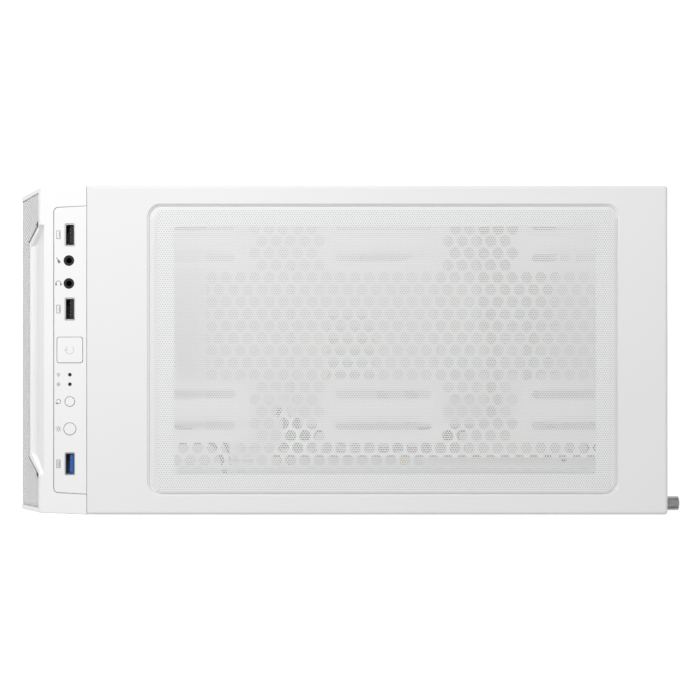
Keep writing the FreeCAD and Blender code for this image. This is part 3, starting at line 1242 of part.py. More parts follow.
PARTS = [
    chassis_top_panel, chassis_bottom, case_feet, chassis_front_wall, chassis_rear_wall, side_rails,
    motherboard_tray, board_standoffs, psu_shroud, drive_cage, slot_covers, io_shield, door_fittings,
    supply_frame, port_strip, port_board, usb_shells, usb2_tongues, usb3_tongue, audio_jacks, indicator_lenses,
    power_button, reset_button, light_button, top_filter_mesh, top_filter_magnets, bottom_filter,
    front_panel_shell, front_panel_clips, front_mesh, right_side_panel, panel_screw_upper, panel_screw_lower, door_glass,
    door_frame, front_fan_frames, front_fan_rotor_low, front_fan_rotor_middle, front_fan_rotor_high,
    rear_fan_frame, rear_fan_rotor, psu_housing, psu_sockets, psu_inlet, psu_rocker, psu_fan_rotor,
    motherboard, board_sockets, memory_modules, board_heatsinks, rear_ports, cooler_fins, cooler_fan_frame,
    cooler_fan_rotor, card_board, card_shroud, card_metalwork, card_fan_rotor_front,
    card_fan_rotor_rear, hard_drive,
]

os.makedirs("parts", exist_ok=True)
for make in PARTS:
    make().exportStep("parts/" + make.__name__ + ".step")
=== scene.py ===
"""Looks for a white desktop computer tower: finishes, fine meshes, printed marks and inner detail.

+Z is up, -Y is the front and -X is the glass door's side. Lengths are metres, and MM turns
millimetres into them.
"""
import math
import random

import bmesh
import bpy
import numpy
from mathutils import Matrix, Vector


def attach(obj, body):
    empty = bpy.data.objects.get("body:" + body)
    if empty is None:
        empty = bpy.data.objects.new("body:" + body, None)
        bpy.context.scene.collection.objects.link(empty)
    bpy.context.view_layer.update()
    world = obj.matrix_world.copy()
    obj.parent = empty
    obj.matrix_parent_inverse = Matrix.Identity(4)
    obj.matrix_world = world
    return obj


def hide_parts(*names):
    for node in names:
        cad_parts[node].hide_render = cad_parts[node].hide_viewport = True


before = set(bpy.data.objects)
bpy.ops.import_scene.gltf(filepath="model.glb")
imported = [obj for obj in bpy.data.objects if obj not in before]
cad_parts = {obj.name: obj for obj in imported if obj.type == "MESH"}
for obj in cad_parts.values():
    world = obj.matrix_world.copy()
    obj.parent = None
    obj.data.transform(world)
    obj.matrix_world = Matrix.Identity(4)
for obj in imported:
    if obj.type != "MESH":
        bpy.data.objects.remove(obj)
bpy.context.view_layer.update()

MM = 0.001
HEIGHT = 445.0
FRONT_Y, BROW_Y, SEAM_Y, REAR_Y = -209.2, -193.8, -164.7, 198.7
BASE_Z = 14.0
SLOPE_DROP = 30.0


# ------------------------------------------------------------------ camera, light and floor
def make_camera(distance=1.5, seen_width=0.4375):
    """Looks straight down on the lid, with the front of the tower to the left of the frame."""
    data = bpy.data.cameras.new("lens")
    data.sensor_width = 36.0
    data.lens = 36.0 * distance / seen_width
    data.clip_start, data.clip_end = 0.05, 50.0
    camera = bpy.data.objects.new("camera", data)
    camera.location = (0.0, 0.0, HEIGHT * MM + distance)
    camera.rotation_euler = (0.0, 0.0, math.pi / 2)
    bpy.context.collection.objects.link(camera)
    bpy.context.scene.camera = camera


def soft_light(name, place, aim, size, power, tint=(1.0, 1.0, 1.0)):
    data = bpy.data.lights.new(name, "AREA")
    data.shape, data.size, data.size_y = "RECTANGLE", size[0], size[1]
    data.energy, data.color = power, tint
    lamp = bpy.data.objects.new(name, data)
    lamp.location = place
    lamp.rotation_euler = (Vector(aim) - Vector(place)).to_track_quat("-Z", "Y").to_euler()
    bpy.context.collection.objects.link(lamp)
    return lamp


# ------------------------------------------------------------------ shader writing
class Wire:
    """A shader socket that takes part in Python expressions."""

    def __init__(self, finish, socket):
        self.finish, self.socket = finish, socket

    def _do(self, kind, *others, clamp=False):
        node = self.finish.node("ShaderNodeMath", {"operation": kind, "use_clamp": clamp}, list(others))
        return Wire(self.finish, node.outputs[0])

    def __add__(self, other):
        return self._do("ADD", self, other)

    def __radd__(self, other):
        return self._do("ADD", other, self)

    def __sub__(self, other):
        return self._do("SUBTRACT", self, other)

    def __rsub__(self, other):
        return self._do("SUBTRACT", other, self)

    def __mul__(self, other):
        return self._do("MULTIPLY", self, other)

    def __rmul__(self, other):
        return self._do("MULTIPLY", other, self)

    def __truediv__(self, other):
        return self._do("DIVIDE", self, other)

    def __pow__(self, other):
        return self._do("POWER", self, other)

    def above(self, edge):
        return self._do("GREATER_THAN", self, edge)

    def wave(self):
        return self._do("SINE", self)

    def part(self):
        """What is left after the whole number."""
        return self._do("FRACT", self)

    def between(self, low, high):
        """0 at low, 1 at high, smooth in between."""
        node = self.finish.node("ShaderNodeMapRange", {"interpolation_type": "SMOOTHSTEP"},
                                {"Value": self, "From Min": low, "From Max": high})
        return Wire(self.finish, node.outputs[0])


class Finish:
    """One material, with its Principled shader ready to be fed."""

    def __init__(self, name):
        self.material = bpy.data.materials.new(name)
        self.material.use_nodes = True
        self.tree = self.material.node_tree
        self.shader = self.tree.nodes["Principled BSDF"]
        self._places = None

    @classmethod
    def on_sky(cls, world):
        """The same way of writing nodes, for the studio's surroundings."""
        made = cls.__new__(cls)
        world.use_nodes = True
        made.material, made.tree, made._places = world, world.node_tree, None
        made.shader = world.node_tree.nodes["Background"]
        return made

    def node(self, kind, settings=None, inputs=None):
        """Adds a node: its settings first, then the numbers or links of its sockets."""
        made = self.tree.nodes.new(kind)
        for key, value in (settings or {}).items():
            if key == "stops":
                ramp = made.color_ramp
                while len(ramp.elements) < len(value):
                    ramp.elements.new(0.5)
                for element, (place, colour) in zip(ramp.elements, value):
                    element.position, element.color = place, (*colour, 1.0)
            else:
                setattr(made, key, value)
        pairs = inputs.items() if isinstance(inputs, dict) else enumerate(inputs or [])
        for key, value in pairs:
            self.feed(made.inputs[key], value)
        return made

    def feed(self, socket, value):
        if isinstance(value, Wire):
            self.tree.links.new(value.socket, socket)
        elif hasattr(value, "is_output"):
            self.tree.links.new(value, socket)
        elif isinstance(value, (tuple, list)) and len(value) == 3 and socket.type == "RGBA":
            socket.default_value = (*value, 1.0)
        else:
            socket.default_value = value

    def wire(self, node, output=0):
        return Wire(self, node.outputs[output])

    def set(self, **inputs):
        """Feeds the Principled shader. Underscores stand for spaces."""
        for key, value in inputs.items():
            self.feed(self.shader.inputs[key.replace("_", " ")], value)
        return self

    @property
    def places(self):
        """Coordinates of the surface in the tower's frame, in metres."""
        if self._places is None:
            self._places = self.node("ShaderNodeTexCoord").outputs["Object"]
        return self._places

    def split(self):
        made = self.node("ShaderNodeSeparateXYZ", None, [self.places])
        return [self.wire(made, i) for i in range(3)]

    def stretched(self, x, y, z):
        made = self.node("ShaderNodeVectorMath", {"operation": "MULTIPLY"}, [self.places, (x, y, z)])
        return made.outputs[0]

    def noise(self, scale, detail=2.0, rough=0.5, at=None):
        made = self.node("ShaderNodeTexNoise", None,
                         {"Vector": at or self.places, "Scale": scale, "Detail": detail, "Roughness": rough})
        return self.wire(made, 0)

    def cells(self, scale, feature="F1", output="Distance", at=None):
        made = self.node("ShaderNodeTexVoronoi", {"feature": feature}, {"Vector": at or self.places, "Scale": scale})
        return Wire(self, made.outputs[output])

    def mixed(self, amount, first, second):
        """A colour between two."""
        made = self.node("ShaderNodeMix", {"data_type": "RGBA"})
        self.feed(made.inputs[0], amount)
        self.feed(made.inputs[6], first)
        self.feed(made.inputs[7], second)
        return made.outputs[2]

    def bumped(self, height, depth, strength=1.0):
        """Relief of that depth in metres, fed to Normal."""
        made = self.node("ShaderNodeBump", None, {"Height": height, "Distance": depth, "Strength": strength})
        return self.set(Normal=made.outputs[0])


def shade(colour, factor):
    return tuple(min(1.0, c * factor) for c in colour)


def coated_steel(name, colour, peel=0.00005):
    """Powder coat on sheet steel: fine pebbled relief, faint clouding, a little rubbed on high spots."""
    f = Finish(name)
    cloud = f.noise(9.0, 3.0)
    pebble = f.noise(1500.0, 2.0, 0.6)
    grain = f.noise(5200.0, 1.0)
    tone = f.mixed(cloud.between(0.3, 0.7), shade(colour, 0.985), colour)
    tone = f.mixed(grain.between(0.62, 0.8) * 0.25, tone, shade(colour, 0.9))
    f.set(Base_Color=tone, Roughness=0.44 + pebble * 0.14 + cloud * 0.04, Specular_IOR_Level=0.45)
    return f.bumped(pebble + grain * 0.3, peel).material


def moulded_plastic(name, colour, grain_depth=0.00002, rough=0.38):
    """Injection-moulded shell: spark-eroded grain and slow flow marks."""
    f = Finish(name)
    flow = f.noise(14.0, 2.0, 0.4, f.stretched(1.0, 0.35, 1.0))
    grain = f.cells(2600.0)
    dust = f.noise(700.0, 3.0)
    tone = f.mixed(flow.between(0.25, 0.75), shade(colour, 0.985), colour)
    tone = f.mixed(dust.between(0.62, 0.8) * 0.12, tone, shade(colour, 0.93))
    f.set(Base_Color=tone, Roughness=rough + grain * 0.12 + flow * 0.04, Specular_IOR_Level=0.5)
    return f.bumped(grain, grain_depth).material


def dark_plastic(name, colour=(0.022, 0.022, 0.024), rough=0.42):
    f = Finish(name)
    grain = f.noise(1900.0, 2.0)
    rub = f.noise(160.0, 4.0, 0.6)
    tone = f.mixed(rub.between(0.55, 0.75) * 0.5, colour, shade(colour, 1.9))
    f.set(Base_Color=tone, Roughness=rough + grain * 0.16)
    return f.bumped(grain, 0.00003).material


def rolled_steel(name, colour, along="y", rough=0.3):
    """Bare plated sheet with fine rolling lines."""
    f = Finish(name)
    runs = {"x": (40.0, 3000.0, 3000.0), "y": (3000.0, 40.0, 3000.0), "z": (3000.0, 3000.0, 40.0)}[along]
    lines = f.noise(1.0, 3.0, 0.6, f.stretched(*runs))
    stain = f.noise(70.0, 4.0)
    f.set(Base_Color=f.mixed(stain.between(0.35, 0.75), shade(colour, 0.86), colour), Metallic=1.0,
          Roughness=rough + lines * 0.16 + stain * 0.06)
    return f.bumped(lines, 0.000012).material


def turned_metal(name, colour, centre, rough=0.26):
    """Lathe-turned metal: fine rings about an axis that runs along Y."""
    f = Finish(name)
    x, _, z = f.split()
    radius = ((x - centre[0]) ** 2.0 + (z - centre[1]) ** 2.0) ** 0.5
    rings = (radius * 26000.0).wave()
    wear = f.noise(420.0, 4.0, 0.6)
    f.set(Base_Color=f.mixed(wear.between(0.35, 0.7), shade(colour, 0.72), colour), Metallic=1.0,
          Roughness=rough + wear * 0.2)
    return f.bumped(rings * 0.5 + wear, 0.000012).material


def cast_aluminium(name, colour=(0.62, 0.63, 0.65), rough=0.34):
    f = Finish(name)
    bead = f.noise(2400.0, 2.0)
    cloud = f.noise(60.0, 3.0)
    f.set(Base_Color=f.mixed(cloud.between(0.3, 0.7), shade(colour, 0.9), colour), Metallic=1.0,
          Roughness=rough + bead * 0.18 + cloud * 0.05)
    return f.bumped(bead, 0.00002).material


def foot_rubber(name):
    f = Finish(name)
    grain = f.noise(900.0, 3.0)
    dust = f.noise(50.0, 4.0, 0.65)
    f.set(Base_Color=f.mixed(dust.between(0.5, 0.8), (0.035, 0.035, 0.037), (0.09, 0.088, 0.085)),
          Roughness=0.66 + grain * 0.2)
    return f.bumped(grain, 0.00006).material


def clear_pane(name):
    """Tempered glass, lightly smoked, with faint wipe marks."""
    f = Finish(name)
    wipe = f.noise(5.0, 4.0, 0.6, f.stretched(1.0, 0.3, 2.2))
    f.set(Base_Color=(0.10, 0.11, 0.12), Roughness=0.02 + wipe.between(0.45, 0.8) * 0.05, IOR=1.52,
          Specular_IOR_Level=0.9, Coat_Roughness=0.02, Alpha=0.32 + wipe.between(0.5, 0.85) * 0.03)
    f.shader.inputs["Coat Weight"].default_value = 1.0
    return f.material


def circuit_board(name, ground=(0.012, 0.014, 0.018)):
    """Matt solder mask over copper tracks, with small plated holes."""
    f = Finish(name)
    x, y, z = f.split()
    tracks = f.cells(110.0, "DISTANCE_TO_EDGE", "Distance", f.stretched(0.02, 1.0, 1.0))
    fine = ((y + z) * 2600.0).wave()
    lane = f.noise(45.0, 1.0)
    on = (tracks.between(0.02, 0.06) * fine.between(0.2, 0.5) * lane.between(0.48, 0.55))
    vias = 1.0 - f.cells(260.0).between(0.10, 0.13)
    tone = f.mixed(on * 0.8, ground, shade(ground, 2.1))
    tone = f.mixed(vias * 0.9, tone, (0.32, 0.27, 0.15))
    f.set(Base_Color=tone, Roughness=0.36 + lane * 0.1)
    return f.bumped(on * 0.6 + vias, 0.00003).material


def plain_mesh(name, colour, rough=0.5):
    """Coat of the fine perforated sheets, whose relief is all in their thousands of real holes."""
    f = Finish(name)
    f.set(Base_Color=colour, Roughness=rough)
    return f.material


def magnet_strip(name):
    f = Finish(name)
    ribs = (f.split()[0] * 5200.0).wave()
    grain = f.noise(1300.0, 2.0)
    f.set(Base_Color=f.mixed(grain.between(0.3, 0.7), (0.60, 0.61, 0.62), (0.66, 0.67, 0.68)),
          Roughness=0.5 + grain * 0.15)
    return f.bumped(grain + ribs * 0.15, 0.00003).material


def glossy_lens(name, colour):
    f = Finish(name)
    swirl = f.noise(300.0, 2.0)
    f.set(Base_Color=f.mixed(swirl, shade(colour, 0.8), colour), Roughness=0.08 + swirl * 0.06)
    return f.material


def shell_metal(name, colour):
    """Plated port shell."""
    return rolled_steel(name, colour, "z", 0.28)


WHITE = (0.830, 0.830, 0.828)
SHELL_WHITE = (0.885, 0.885, 0.882)
FINISHES = {
    "steel": coated_steel("powder coated steel", WHITE),
    # The inside sheet metal is the same white coat darkened to 0.86 of it: painted shade for the inside of the case.
    "inside steel, painted shade": coated_steel("inside steel coat, darkened as painted shade", shade(WHITE, 0.86)),
    "shell": moulded_plastic("front shell plastic", SHELL_WHITE),
    "strip": moulded_plastic("strip plastic", shade(SHELL_WHITE, 0.985)),
    "keys": moulded_plastic("button plastic", shade(SHELL_WHITE, 0.99), 0.000012, 0.3),
    "fan": moulded_plastic("fan plastic", (0.66, 0.67, 0.68), 0.00002, 0.34),
    "black": dark_plastic("black plastic"),
    # Socket tongues and jacks are real black plastic, darkened far below the other black plastic as painted shade of
    # the socket openings.
    "socket black, painted shade": dark_plastic("socket black, painted shade", (0.0025, 0.0025, 0.003), 0.55),
    "blue": dark_plastic("blue plastic", (0.006, 0.10, 0.36)),
    "ports": shell_metal("port shell", (0.50, 0.50, 0.51)),
    "rolled": rolled_steel("plated sheet", (0.60, 0.60, 0.61)),
    "screw": turned_metal("screw steel", (0.44, 0.44, 0.45), (0.0975, 0.417)),
    "low screw": turned_metal("lower screw steel", (0.44, 0.44, 0.45), (0.0975, 0.046)),
    "aluminium": cast_aluminium("satin aluminium"),
    "brass": rolled_steel("brass", (0.62, 0.46, 0.20), "x"),
    "rubber": foot_rubber("foot rubber"),
    "glass": clear_pane("door glass"),
    "board": circuit_board("circuit board"),
    "magnet": magnet_strip("magnetic strip"),
    "lens": glossy_lens("indicator lens", (0.008, 0.008, 0.009)),
    "ink": dark_plastic("grey ink", (0.20, 0.20, 0.205), 0.5),
    "faint ink": moulded_plastic("pressed mark", (0.62, 0.62, 0.62)),
    "gilt": rolled_steel("gilt spring", (0.78, 0.58, 0.24), "z", 0.22),
    "dark screw": cast_aluminium("plated screw", (0.30, 0.30, 0.31), 0.3),
    "pale chip": cast_aluminium("chip ends", (0.62, 0.60, 0.56), 0.4),
    "sleeve": moulded_plastic("cable sleeve", (0.84, 0.84, 0.84)),
    "filter": plain_mesh("filter coat", (0.93, 0.93, 0.93)),
    "front mesh": plain_mesh("front mesh coat", (0.72, 0.72, 0.72)),
}

NODE_FINISH = {
    "steel": ["chassis_top_panel", "chassis_rear_wall", "chassis_bottom", "right_side_panel", "door_frame",
              "door_fittings", "supply_frame", "psu_housing"],
    "inside steel, painted shade": ["chassis_front_wall", "side_rails", "motherboard_tray", "psu_shroud", "drive_cage",
                    "slot_covers", "card_metalwork"],
    "shell": ["front_panel_shell", "front_panel_clips", "bottom_filter"],
    "strip": ["port_strip"],
    "keys": ["power_button", "reset_button", "light_button"],
    "fan": ["card_shroud", "front_fan_frames", "front_fan_rotor_low", "front_fan_rotor_middle", "front_fan_rotor_high",
            "rear_fan_frame", "rear_fan_rotor", "cooler_fan_frame", "cooler_fan_rotor",
            "card_fan_rotor_front", "card_fan_rotor_rear"],
    "socket black, painted shade": ["usb2_tongues", "audio_jacks"],
    "black": ["psu_sockets", "psu_inlet", "psu_rocker", "psu_fan_rotor",
              "board_sockets"],
    "blue": ["usb3_tongue"],
    "ports": ["usb_shells", "rear_ports"],
    "rolled": ["io_shield"],
    "screw": ["panel_screw_upper"],
    "low screw": ["panel_screw_lower"],
    "aluminium": ["memory_modules", "board_heatsinks", "cooler_fins", "card_board", "hard_drive"],
    "brass": ["board_standoffs"],
    "rubber": ["case_feet"],
    "glass": ["door_glass"],
    "board": ["motherboard", "port_board"],
    "magnet": ["top_filter_magnets"],
    "lens": ["indicator_lenses"],
}
for finish, nodes in NODE_FINISH.items():
    for node in nodes:
        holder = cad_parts[node]
        holder.data.materials.clear()
        holder.data.materials.append(FINISHES[finish])


# ------------------------------------------------------------------ perforated sheets
def hole_field(pitch, row, span_u, span_v, keep):
    """Centres of a staggered field of holes, as an array of (u, v), in millimetres."""
    rows = int(span_v / row) + 1
    columns = int(span_u / pitch) + 1
    k = numpy.arange(-rows, rows + 1)
    n = numpy.arange(-columns, columns + 1)
    grid_n, grid_k = numpy.meshgrid(n, k)
    u = (grid_n + 0.5 * (grid_k % 2)) * pitch
    v = grid_k * row
    field = numpy.stack([u.ravel(), v.ravel()], axis=1)
    return field[keep(field)]


def perforated(name, centres, pitch, row, radius, hold, bend, thick, finish, rim=0.3):
    """A sheet built cell by cell round each hole. hold keeps points inside the outline, and bend
    takes (u, v, depth) to the frame. It comes as pieces of at most CELLS_PER_PIECE cells."""
    peak = (row * row + pitch * pitch / 4) / (2 * row)
    corners = numpy.array([(pitch / 2, row - peak), (0, peak), (-pitch / 2, row - peak),
                           (-pitch / 2, peak - row), (0, -peak), (pitch / 2, peak - row)])
    turns = numpy.arctan2(corners[:, 1], corners[:, 0])
    ring = numpy.stack([numpy.cos(turns), numpy.sin(turns)], axis=1) * radius
    made = []
    for start in range(0, len(centres), CELLS_PER_PIECE):
        some = centres[start:start + CELLS_PER_PIECE]
        count = len(some)
        outer = hold((some[:, None, :] + corners[None]).reshape(-1, 2), 0.0)
        inner = hold((some[:, None, :] + ring[None]).reshape(-1, 2), rim)
        flat = numpy.concatenate([outer, inner])
        welded, index = numpy.unique(numpy.round(flat, 3), axis=0, return_inverse=True)
        index = index.reshape(-1)
        total = len(welded)
        points = numpy.concatenate([bend(welded, 0.0), bend(welded, thick)]) * MM
        cell = numpy.arange(count)[:, None] * 6 + numpy.arange(6)[None]
        following = numpy.arange(count)[:, None] * 6 + (numpy.arange(6)[None] + 1) % 6
        o1, o2 = index[cell].ravel(), index[following].ravel()
        i1, i2 = index[6 * count + cell].ravel(), index[6 * count + following].ravel()
        top = numpy.stack([o1, o2, i2, i1], axis=1)
        faces = numpy.concatenate([top, (top + total)[:, ::-1],
                                   numpy.stack([i1, i2, i2 + total, i1 + total], axis=1)])
        edge_key = numpy.minimum(o1, o2) * total + numpy.maximum(o1, o2)
        _, place, uses = numpy.unique(edge_key, return_inverse=True, return_counts=True)
        single = uses[place.reshape(-1)] == 1
        a, b = o1[single], o2[single]
        faces = numpy.concatenate([faces, numpy.stack([b, a, a + total, b + total], axis=1)])
        made.append(sheet_piece(name + "_" + str(len(made) + 1), points, faces, finish))
    return made


CELLS_PER_PIECE = 5400


def sheet_piece(name, points, faces, finish):
    mesh = bpy.data.meshes.new(name)
    mesh.from_pydata(points.tolist(), [], faces.tolist())
    mesh.validate()
    work = bmesh.new()
    work.from_mesh(mesh)
    bmesh.ops.dissolve_degenerate(work, dist=1e-6, edges=work.edges)
    bmesh.ops.recalc_face_normals(work, faces=work.faces)
    work.to_mesh(mesh)
    work.free()
    mesh.materials.append(FINISHES[finish])
    piece = bpy.data.objects.new(name, mesh)
    bpy.context.collection.objects.link(piece)
    return piece


def filter_sheet():
    """Fine dust filter that lies over the vent, held by its magnets."""
    half = numpy.array([89.4, 145.7])
    corner = 7.0

    def hold(points, rim):
        side = numpy.sign(points)
        reach = numpy.abs(points[:, ::-1]) - (half - corner)
        far = numpy.maximum(reach, 0.0)
        length = numpy.linalg.norm(far, axis=1)
        limit = corner - rim
        factor = numpy.where(length > limit, limit / numpy.maximum(length, 1e-9), 1.0)[:, None]
        kept = numpy.where(reach > 0, far * factor, reach) + (half - corner)
        return side * kept[:, ::-1]

    def keep(field):
        far = numpy.maximum(numpy.abs(field[:, ::-1]) - (half - corner), 0.0)
        return numpy.linalg.norm(far, axis=1) < corner - 0.9

    def bend(points, depth):
        return numpy.stack([points[:, 1], points[:, 0] + FILTER_Y,
                            numpy.full(len(points), FILTER_TOP_Z - depth)], axis=1)

    centres = hole_field(1.5, 1.3, half[1] + 2, half[0] + 2, keep)
    pieces = perforated("filter_mesh", centres, 1.5, 1.3, 0.5, hold, bend, 0.3, "filter")
    for piece in pieces:
        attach(piece, "top_filter")
        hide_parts("top_filter_mesh")


FILTER_Y = 21.0
FILTER_TOP_Z = 444.7
MESH_DEPTH = 1.0


def front_profile(inset):
    """Bends of the mesh from brow to sill, as (y, z)."""
    run = BROW_Y - FRONT_Y
    level = inset * math.hypot(run, SLOPE_DROP) / SLOPE_DROP
    high = HEIGHT - SLOPE_DROP / run * (BROW_Y + level - FRONT_Y - inset)
    return [(BROW_Y + level, HEIGHT), (FRONT_Y + inset, high),
            (FRONT_Y + inset, HEIGHT + BASE_Z - high), (BROW_Y + level, BASE_Z)]


def front_sheet():
    """Pierced steel front, bent along two creases and notched round the finger scoop."""
    line = numpy.array(front_profile(MESH_DEPTH))
    steps = numpy.linalg.norm(numpy.diff(line, axis=0), axis=1)
    along = numpy.concatenate([[0.0], numpy.cumsum(steps)])
    middle = along[-1] / 2
    slant = numpy.diff(line, axis=0) / steps[:, None]
    normals = numpy.stack([-slant[:, 1], slant[:, 0]], axis=1)
    joint_normals = numpy.array([normals[0], normals[0] + normals[1], normals[1] + normals[2], normals[2]])
    joint_normals[1:3] /= (1 + (normals[0] * normals[1]).sum())

    def on_line(s):
        y = numpy.interp(s, along, line[:, 0])
        z = numpy.interp(s, along, line[:, 1])
        back_y = numpy.interp(s, along, joint_normals[:, 0])
        back_z = numpy.interp(s, along, joint_normals[:, 1])
        return y, z, back_y, back_z

    def sides(s):
        """How far the sheet reaches to the left and right at each height."""
        y = numpy.interp(s, along, line[:, 0])
        slope = numpy.clip((BROW_Y - y) / (BROW_Y - FRONT_Y), 0.0, 1.0)
        half = 103.0 - 3.3 - 0.038 * (SEAM_Y - BROW_Y)
        return -half + 4.6 * slope, half - 0.6 * slope

    s_low, s_high = along[0] + 3.0, along[-1] - 3.0
    lean = (78.3 - 65.0) / 17.5
    notch_z = HEIGHT - 17.5 - 2.7

    def notch_half(z):
        return 65.0 + 2.7 + numpy.maximum(z - notch_z, 0.0) * lean

    def hold(points, rim):
        u, s = points[:, 0], points[:, 1] + middle
        s = numpy.clip(s, s_low + rim, s_high - rim)
        left, right = sides(s)
        u = numpy.clip(u, left + rim, right - rim)
        z = on_line(s)[1]
        inside = (z > notch_z - rim) & (numpy.abs(u) < notch_half(z) + rim)
        s_notch = numpy.interp(-(notch_z - rim), -line[:2, 1], along[:2])
        to_side = notch_half(z) + rim - numpy.abs(u)
        to_foot = s_notch - s
        go_side = inside & (to_side < to_foot)
        go_foot = inside & ~go_side
        u = numpy.where(go_side, numpy.sign(u) * (notch_half(z) + rim), u)
        s = numpy.where(go_foot, s_notch, s)
        return numpy.stack([u, s - middle], axis=1)

    def keep(field):
        u, s = field[:, 0], field[:, 1] + middle
        left, right = sides(numpy.clip(s, 0, along[-1]))
        z = on_line(s)[1]
        notch = (z > notch_z - 0.8) & (numpy.abs(u) < notch_half(z) + 0.8)
        return (s > s_low + 0.8) & (s < s_high - 0.8) & (u > left + 0.8) & (u < right - 0.8) & ~notch

    def bend(points, depth):
        y, z, back_y, back_z = on_line(points[:, 1] + middle)
        return numpy.stack([points[:, 0], y - back_y * depth, z - back_z * depth], axis=1)

    centres = hole_field(2.3, 1.99, 100, middle, keep)
    pieces = perforated("front_mesh_sheet", centres, 2.3, 1.99, 0.86, hold, bend, 0.7, "front mesh")
    for piece in pieces:
        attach(piece, "front_panel")
        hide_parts("front_mesh")


filter_sheet()
front_sheet()


# ------------------------------------------------------------------ small solid pieces
def piece_from(work, name, finish, body, bevel=0.0):
    """Turns a mesh under construction into a finished piece on a body."""
    mesh = bpy.data.meshes.new(name)
    bmesh.ops.recalc_face_normals(work, faces=work.faces)
    work.to_mesh(mesh)
    work.free()
    mesh.materials.append(FINISHES[finish])
    piece = bpy.data.objects.new(name, mesh)
    bpy.context.collection.objects.link(piece)
    if bevel:
        soft = piece.modifiers.new("edges", "BEVEL")
        soft.width, soft.segments, soft.limit_method = bevel * MM, 2, "ANGLE"
    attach(piece, body)
    return piece


def add_prism(work, outline, low, high, plane="z"):
    """A straight prism over an outline of (u, v) points. plane is the axis that it stands along."""
    order = {"z": lambda u, v, w: (u, v, w), "y": lambda u, v, w: (u, w, v), "x": lambda u, v, w: (w, u, v)}[plane]
    rings = [[work.verts.new(Vector(order(u, v, w)) * MM) for u, v in outline] for w in (low, high)]
    count = len(outline)
    work.faces.new(rings[0][::-1])
    work.faces.new(rings[1])
    for i in range(count):
        j = (i + 1) % count
        work.faces.new([rings[0][i], rings[0][j], rings[1][j], rings[1][i]])


def block(cu, cv, du, dv):
    return [(cu - du / 2, cv - dv / 2), (cu + du / 2, cv - dv / 2), (cu + du / 2, cv + dv / 2), (cu - du / 2, cv + dv / 2)]


def disc(cu, cv, radius, count=20):
    return [(cu + radius * math.cos(2 * math.pi * i / count), cv + radius * math.sin(2 * math.pi * i / count))
            for i in range(count)]


def add_band(work, centre, radius, width, start, end, low, high, steps=20):
    """Part of a flat ring, between two angles in degrees."""
    angles = [math.radians(start + (end - start) * i / steps) for i in range(steps + 1)]
    outer = [(centre[0] + (radius + width / 2) * math.cos(a), centre[1] + (radius + width / 2) * math.sin(a)) for a in angles]
    inner = [(centre[0] + (radius - width / 2) * math.cos(a), centre[1] + (radius - width / 2) * math.sin(a)) for a in angles]
    for i in range(steps):
        add_prism(work, [outer[i], outer[i + 1], inner[i + 1], inner[i]], low, high)


def stroke(start, end, width):
    """Outline of a straight stroke."""
    along = Vector((end[0] - start[0], end[1] - start[1]))
    side = Vector((-along.y, along.x)).normalized() * width / 2
    return [(start[0] + side.x, start[1] + side.y), (start[0] - side.x, start[1] - side.y),
            (end[0] - side.x, end[1] - side.y), (end[0] + side.x, end[1] + side.y)]


PORT_Y = -175.1
MARK_Y = -182.2
INK = (HEIGHT - 0.01, HEIGHT + 0.03)


def port_mark(work, x, bars):
    """A socket seen end on: a frame with one or two contact bars."""
    for outline in (block(x, MARK_Y - 1.1, 5.2, 0.32), block(x, MARK_Y + 1.1, 5.2, 0.32),
                    block(x - 2.45, MARK_Y, 0.32, 2.0), block(x + 2.45, MARK_Y, 0.32, 2.0)):
        add_prism(work, outline, *INK)
    for i in range(bars):
        add_prism(work, block(x, MARK_Y + 0.55 - 0.8 * i * (bars > 1), 3.6, 0.34), *INK)


def printed_marks():
    """Small generic pictograms in grey ink beside each port and button."""
    work = bmesh.new()
    for x in (-72.0, -25.6):
        port_mark(work, x, 1)
    port_mark(work, 71.1, 2)
    x = -55.9
    add_prism(work, stroke((x - 1.9, MARK_Y - 1.3), (x - 0.2, MARK_Y - 0.1), 0.5), *INK)
    add_prism(work, stroke((x - 0.2, MARK_Y - 0.3), (x + 1.5, MARK_Y + 0.9), 1.5), *INK)
    x = -41.6
    add_band(work, (x, MARK_Y), 1.6, 0.36, 60, 300, *INK)
    for turn in (-1, 1):
        add_prism(work, block(x + 0.55, MARK_Y + turn * 1.5, 1.5, 0.8), *INK)
    add_band(work, (15.4, MARK_Y), 0.85, 0.3, 40, 320, *INK)
    add_prism(work, stroke((15.4, MARK_Y), (16.8, MARK_Y), 0.3), *INK)
    add_band(work, (21.4, MARK_Y), 0.95, 0.3, 0, 360, *INK)
    add_band(work, (21.4, MARK_Y), 0.3, 0.26, 0, 360, *INK, steps=10)
    x = 32.2
    add_band(work, (x, MARK_Y), 1.35, 0.36, -40, 250, *INK)
    add_prism(work, [(x + 0.55, MARK_Y - 1.95), (x + 1.9, MARK_Y - 1.05), (x + 0.6, MARK_Y - 0.35)], *INK)
    x = 49.3
    add_band(work, (x, MARK_Y), 0.8, 0.3, 0, 360, *INK)
    for i in range(8):
        a = math.radians(45 * i)
        add_prism(work, stroke((x + 1.25 * math.cos(a), MARK_Y + 1.25 * math.sin(a)),
                               (x + 1.95 * math.cos(a), MARK_Y + 1.95 * math.sin(a)), 0.28), *INK)
    piece_from(work, "printed_marks", "ink", "case")


def power_mark():
    """Standby symbol pressed faintly into the power button."""
    work = bmesh.new()
    top = (HEIGHT + 0.245, HEIGHT + 0.275)
    add_band(work, (0.0, PORT_Y), 2.5, 0.42, 215, 505, *top, steps=32)
    add_prism(work, block(0.0, PORT_Y - 2.1, 0.42, 2.4), *top)
    piece_from(work, "power_mark", "faint ink", "power_button")


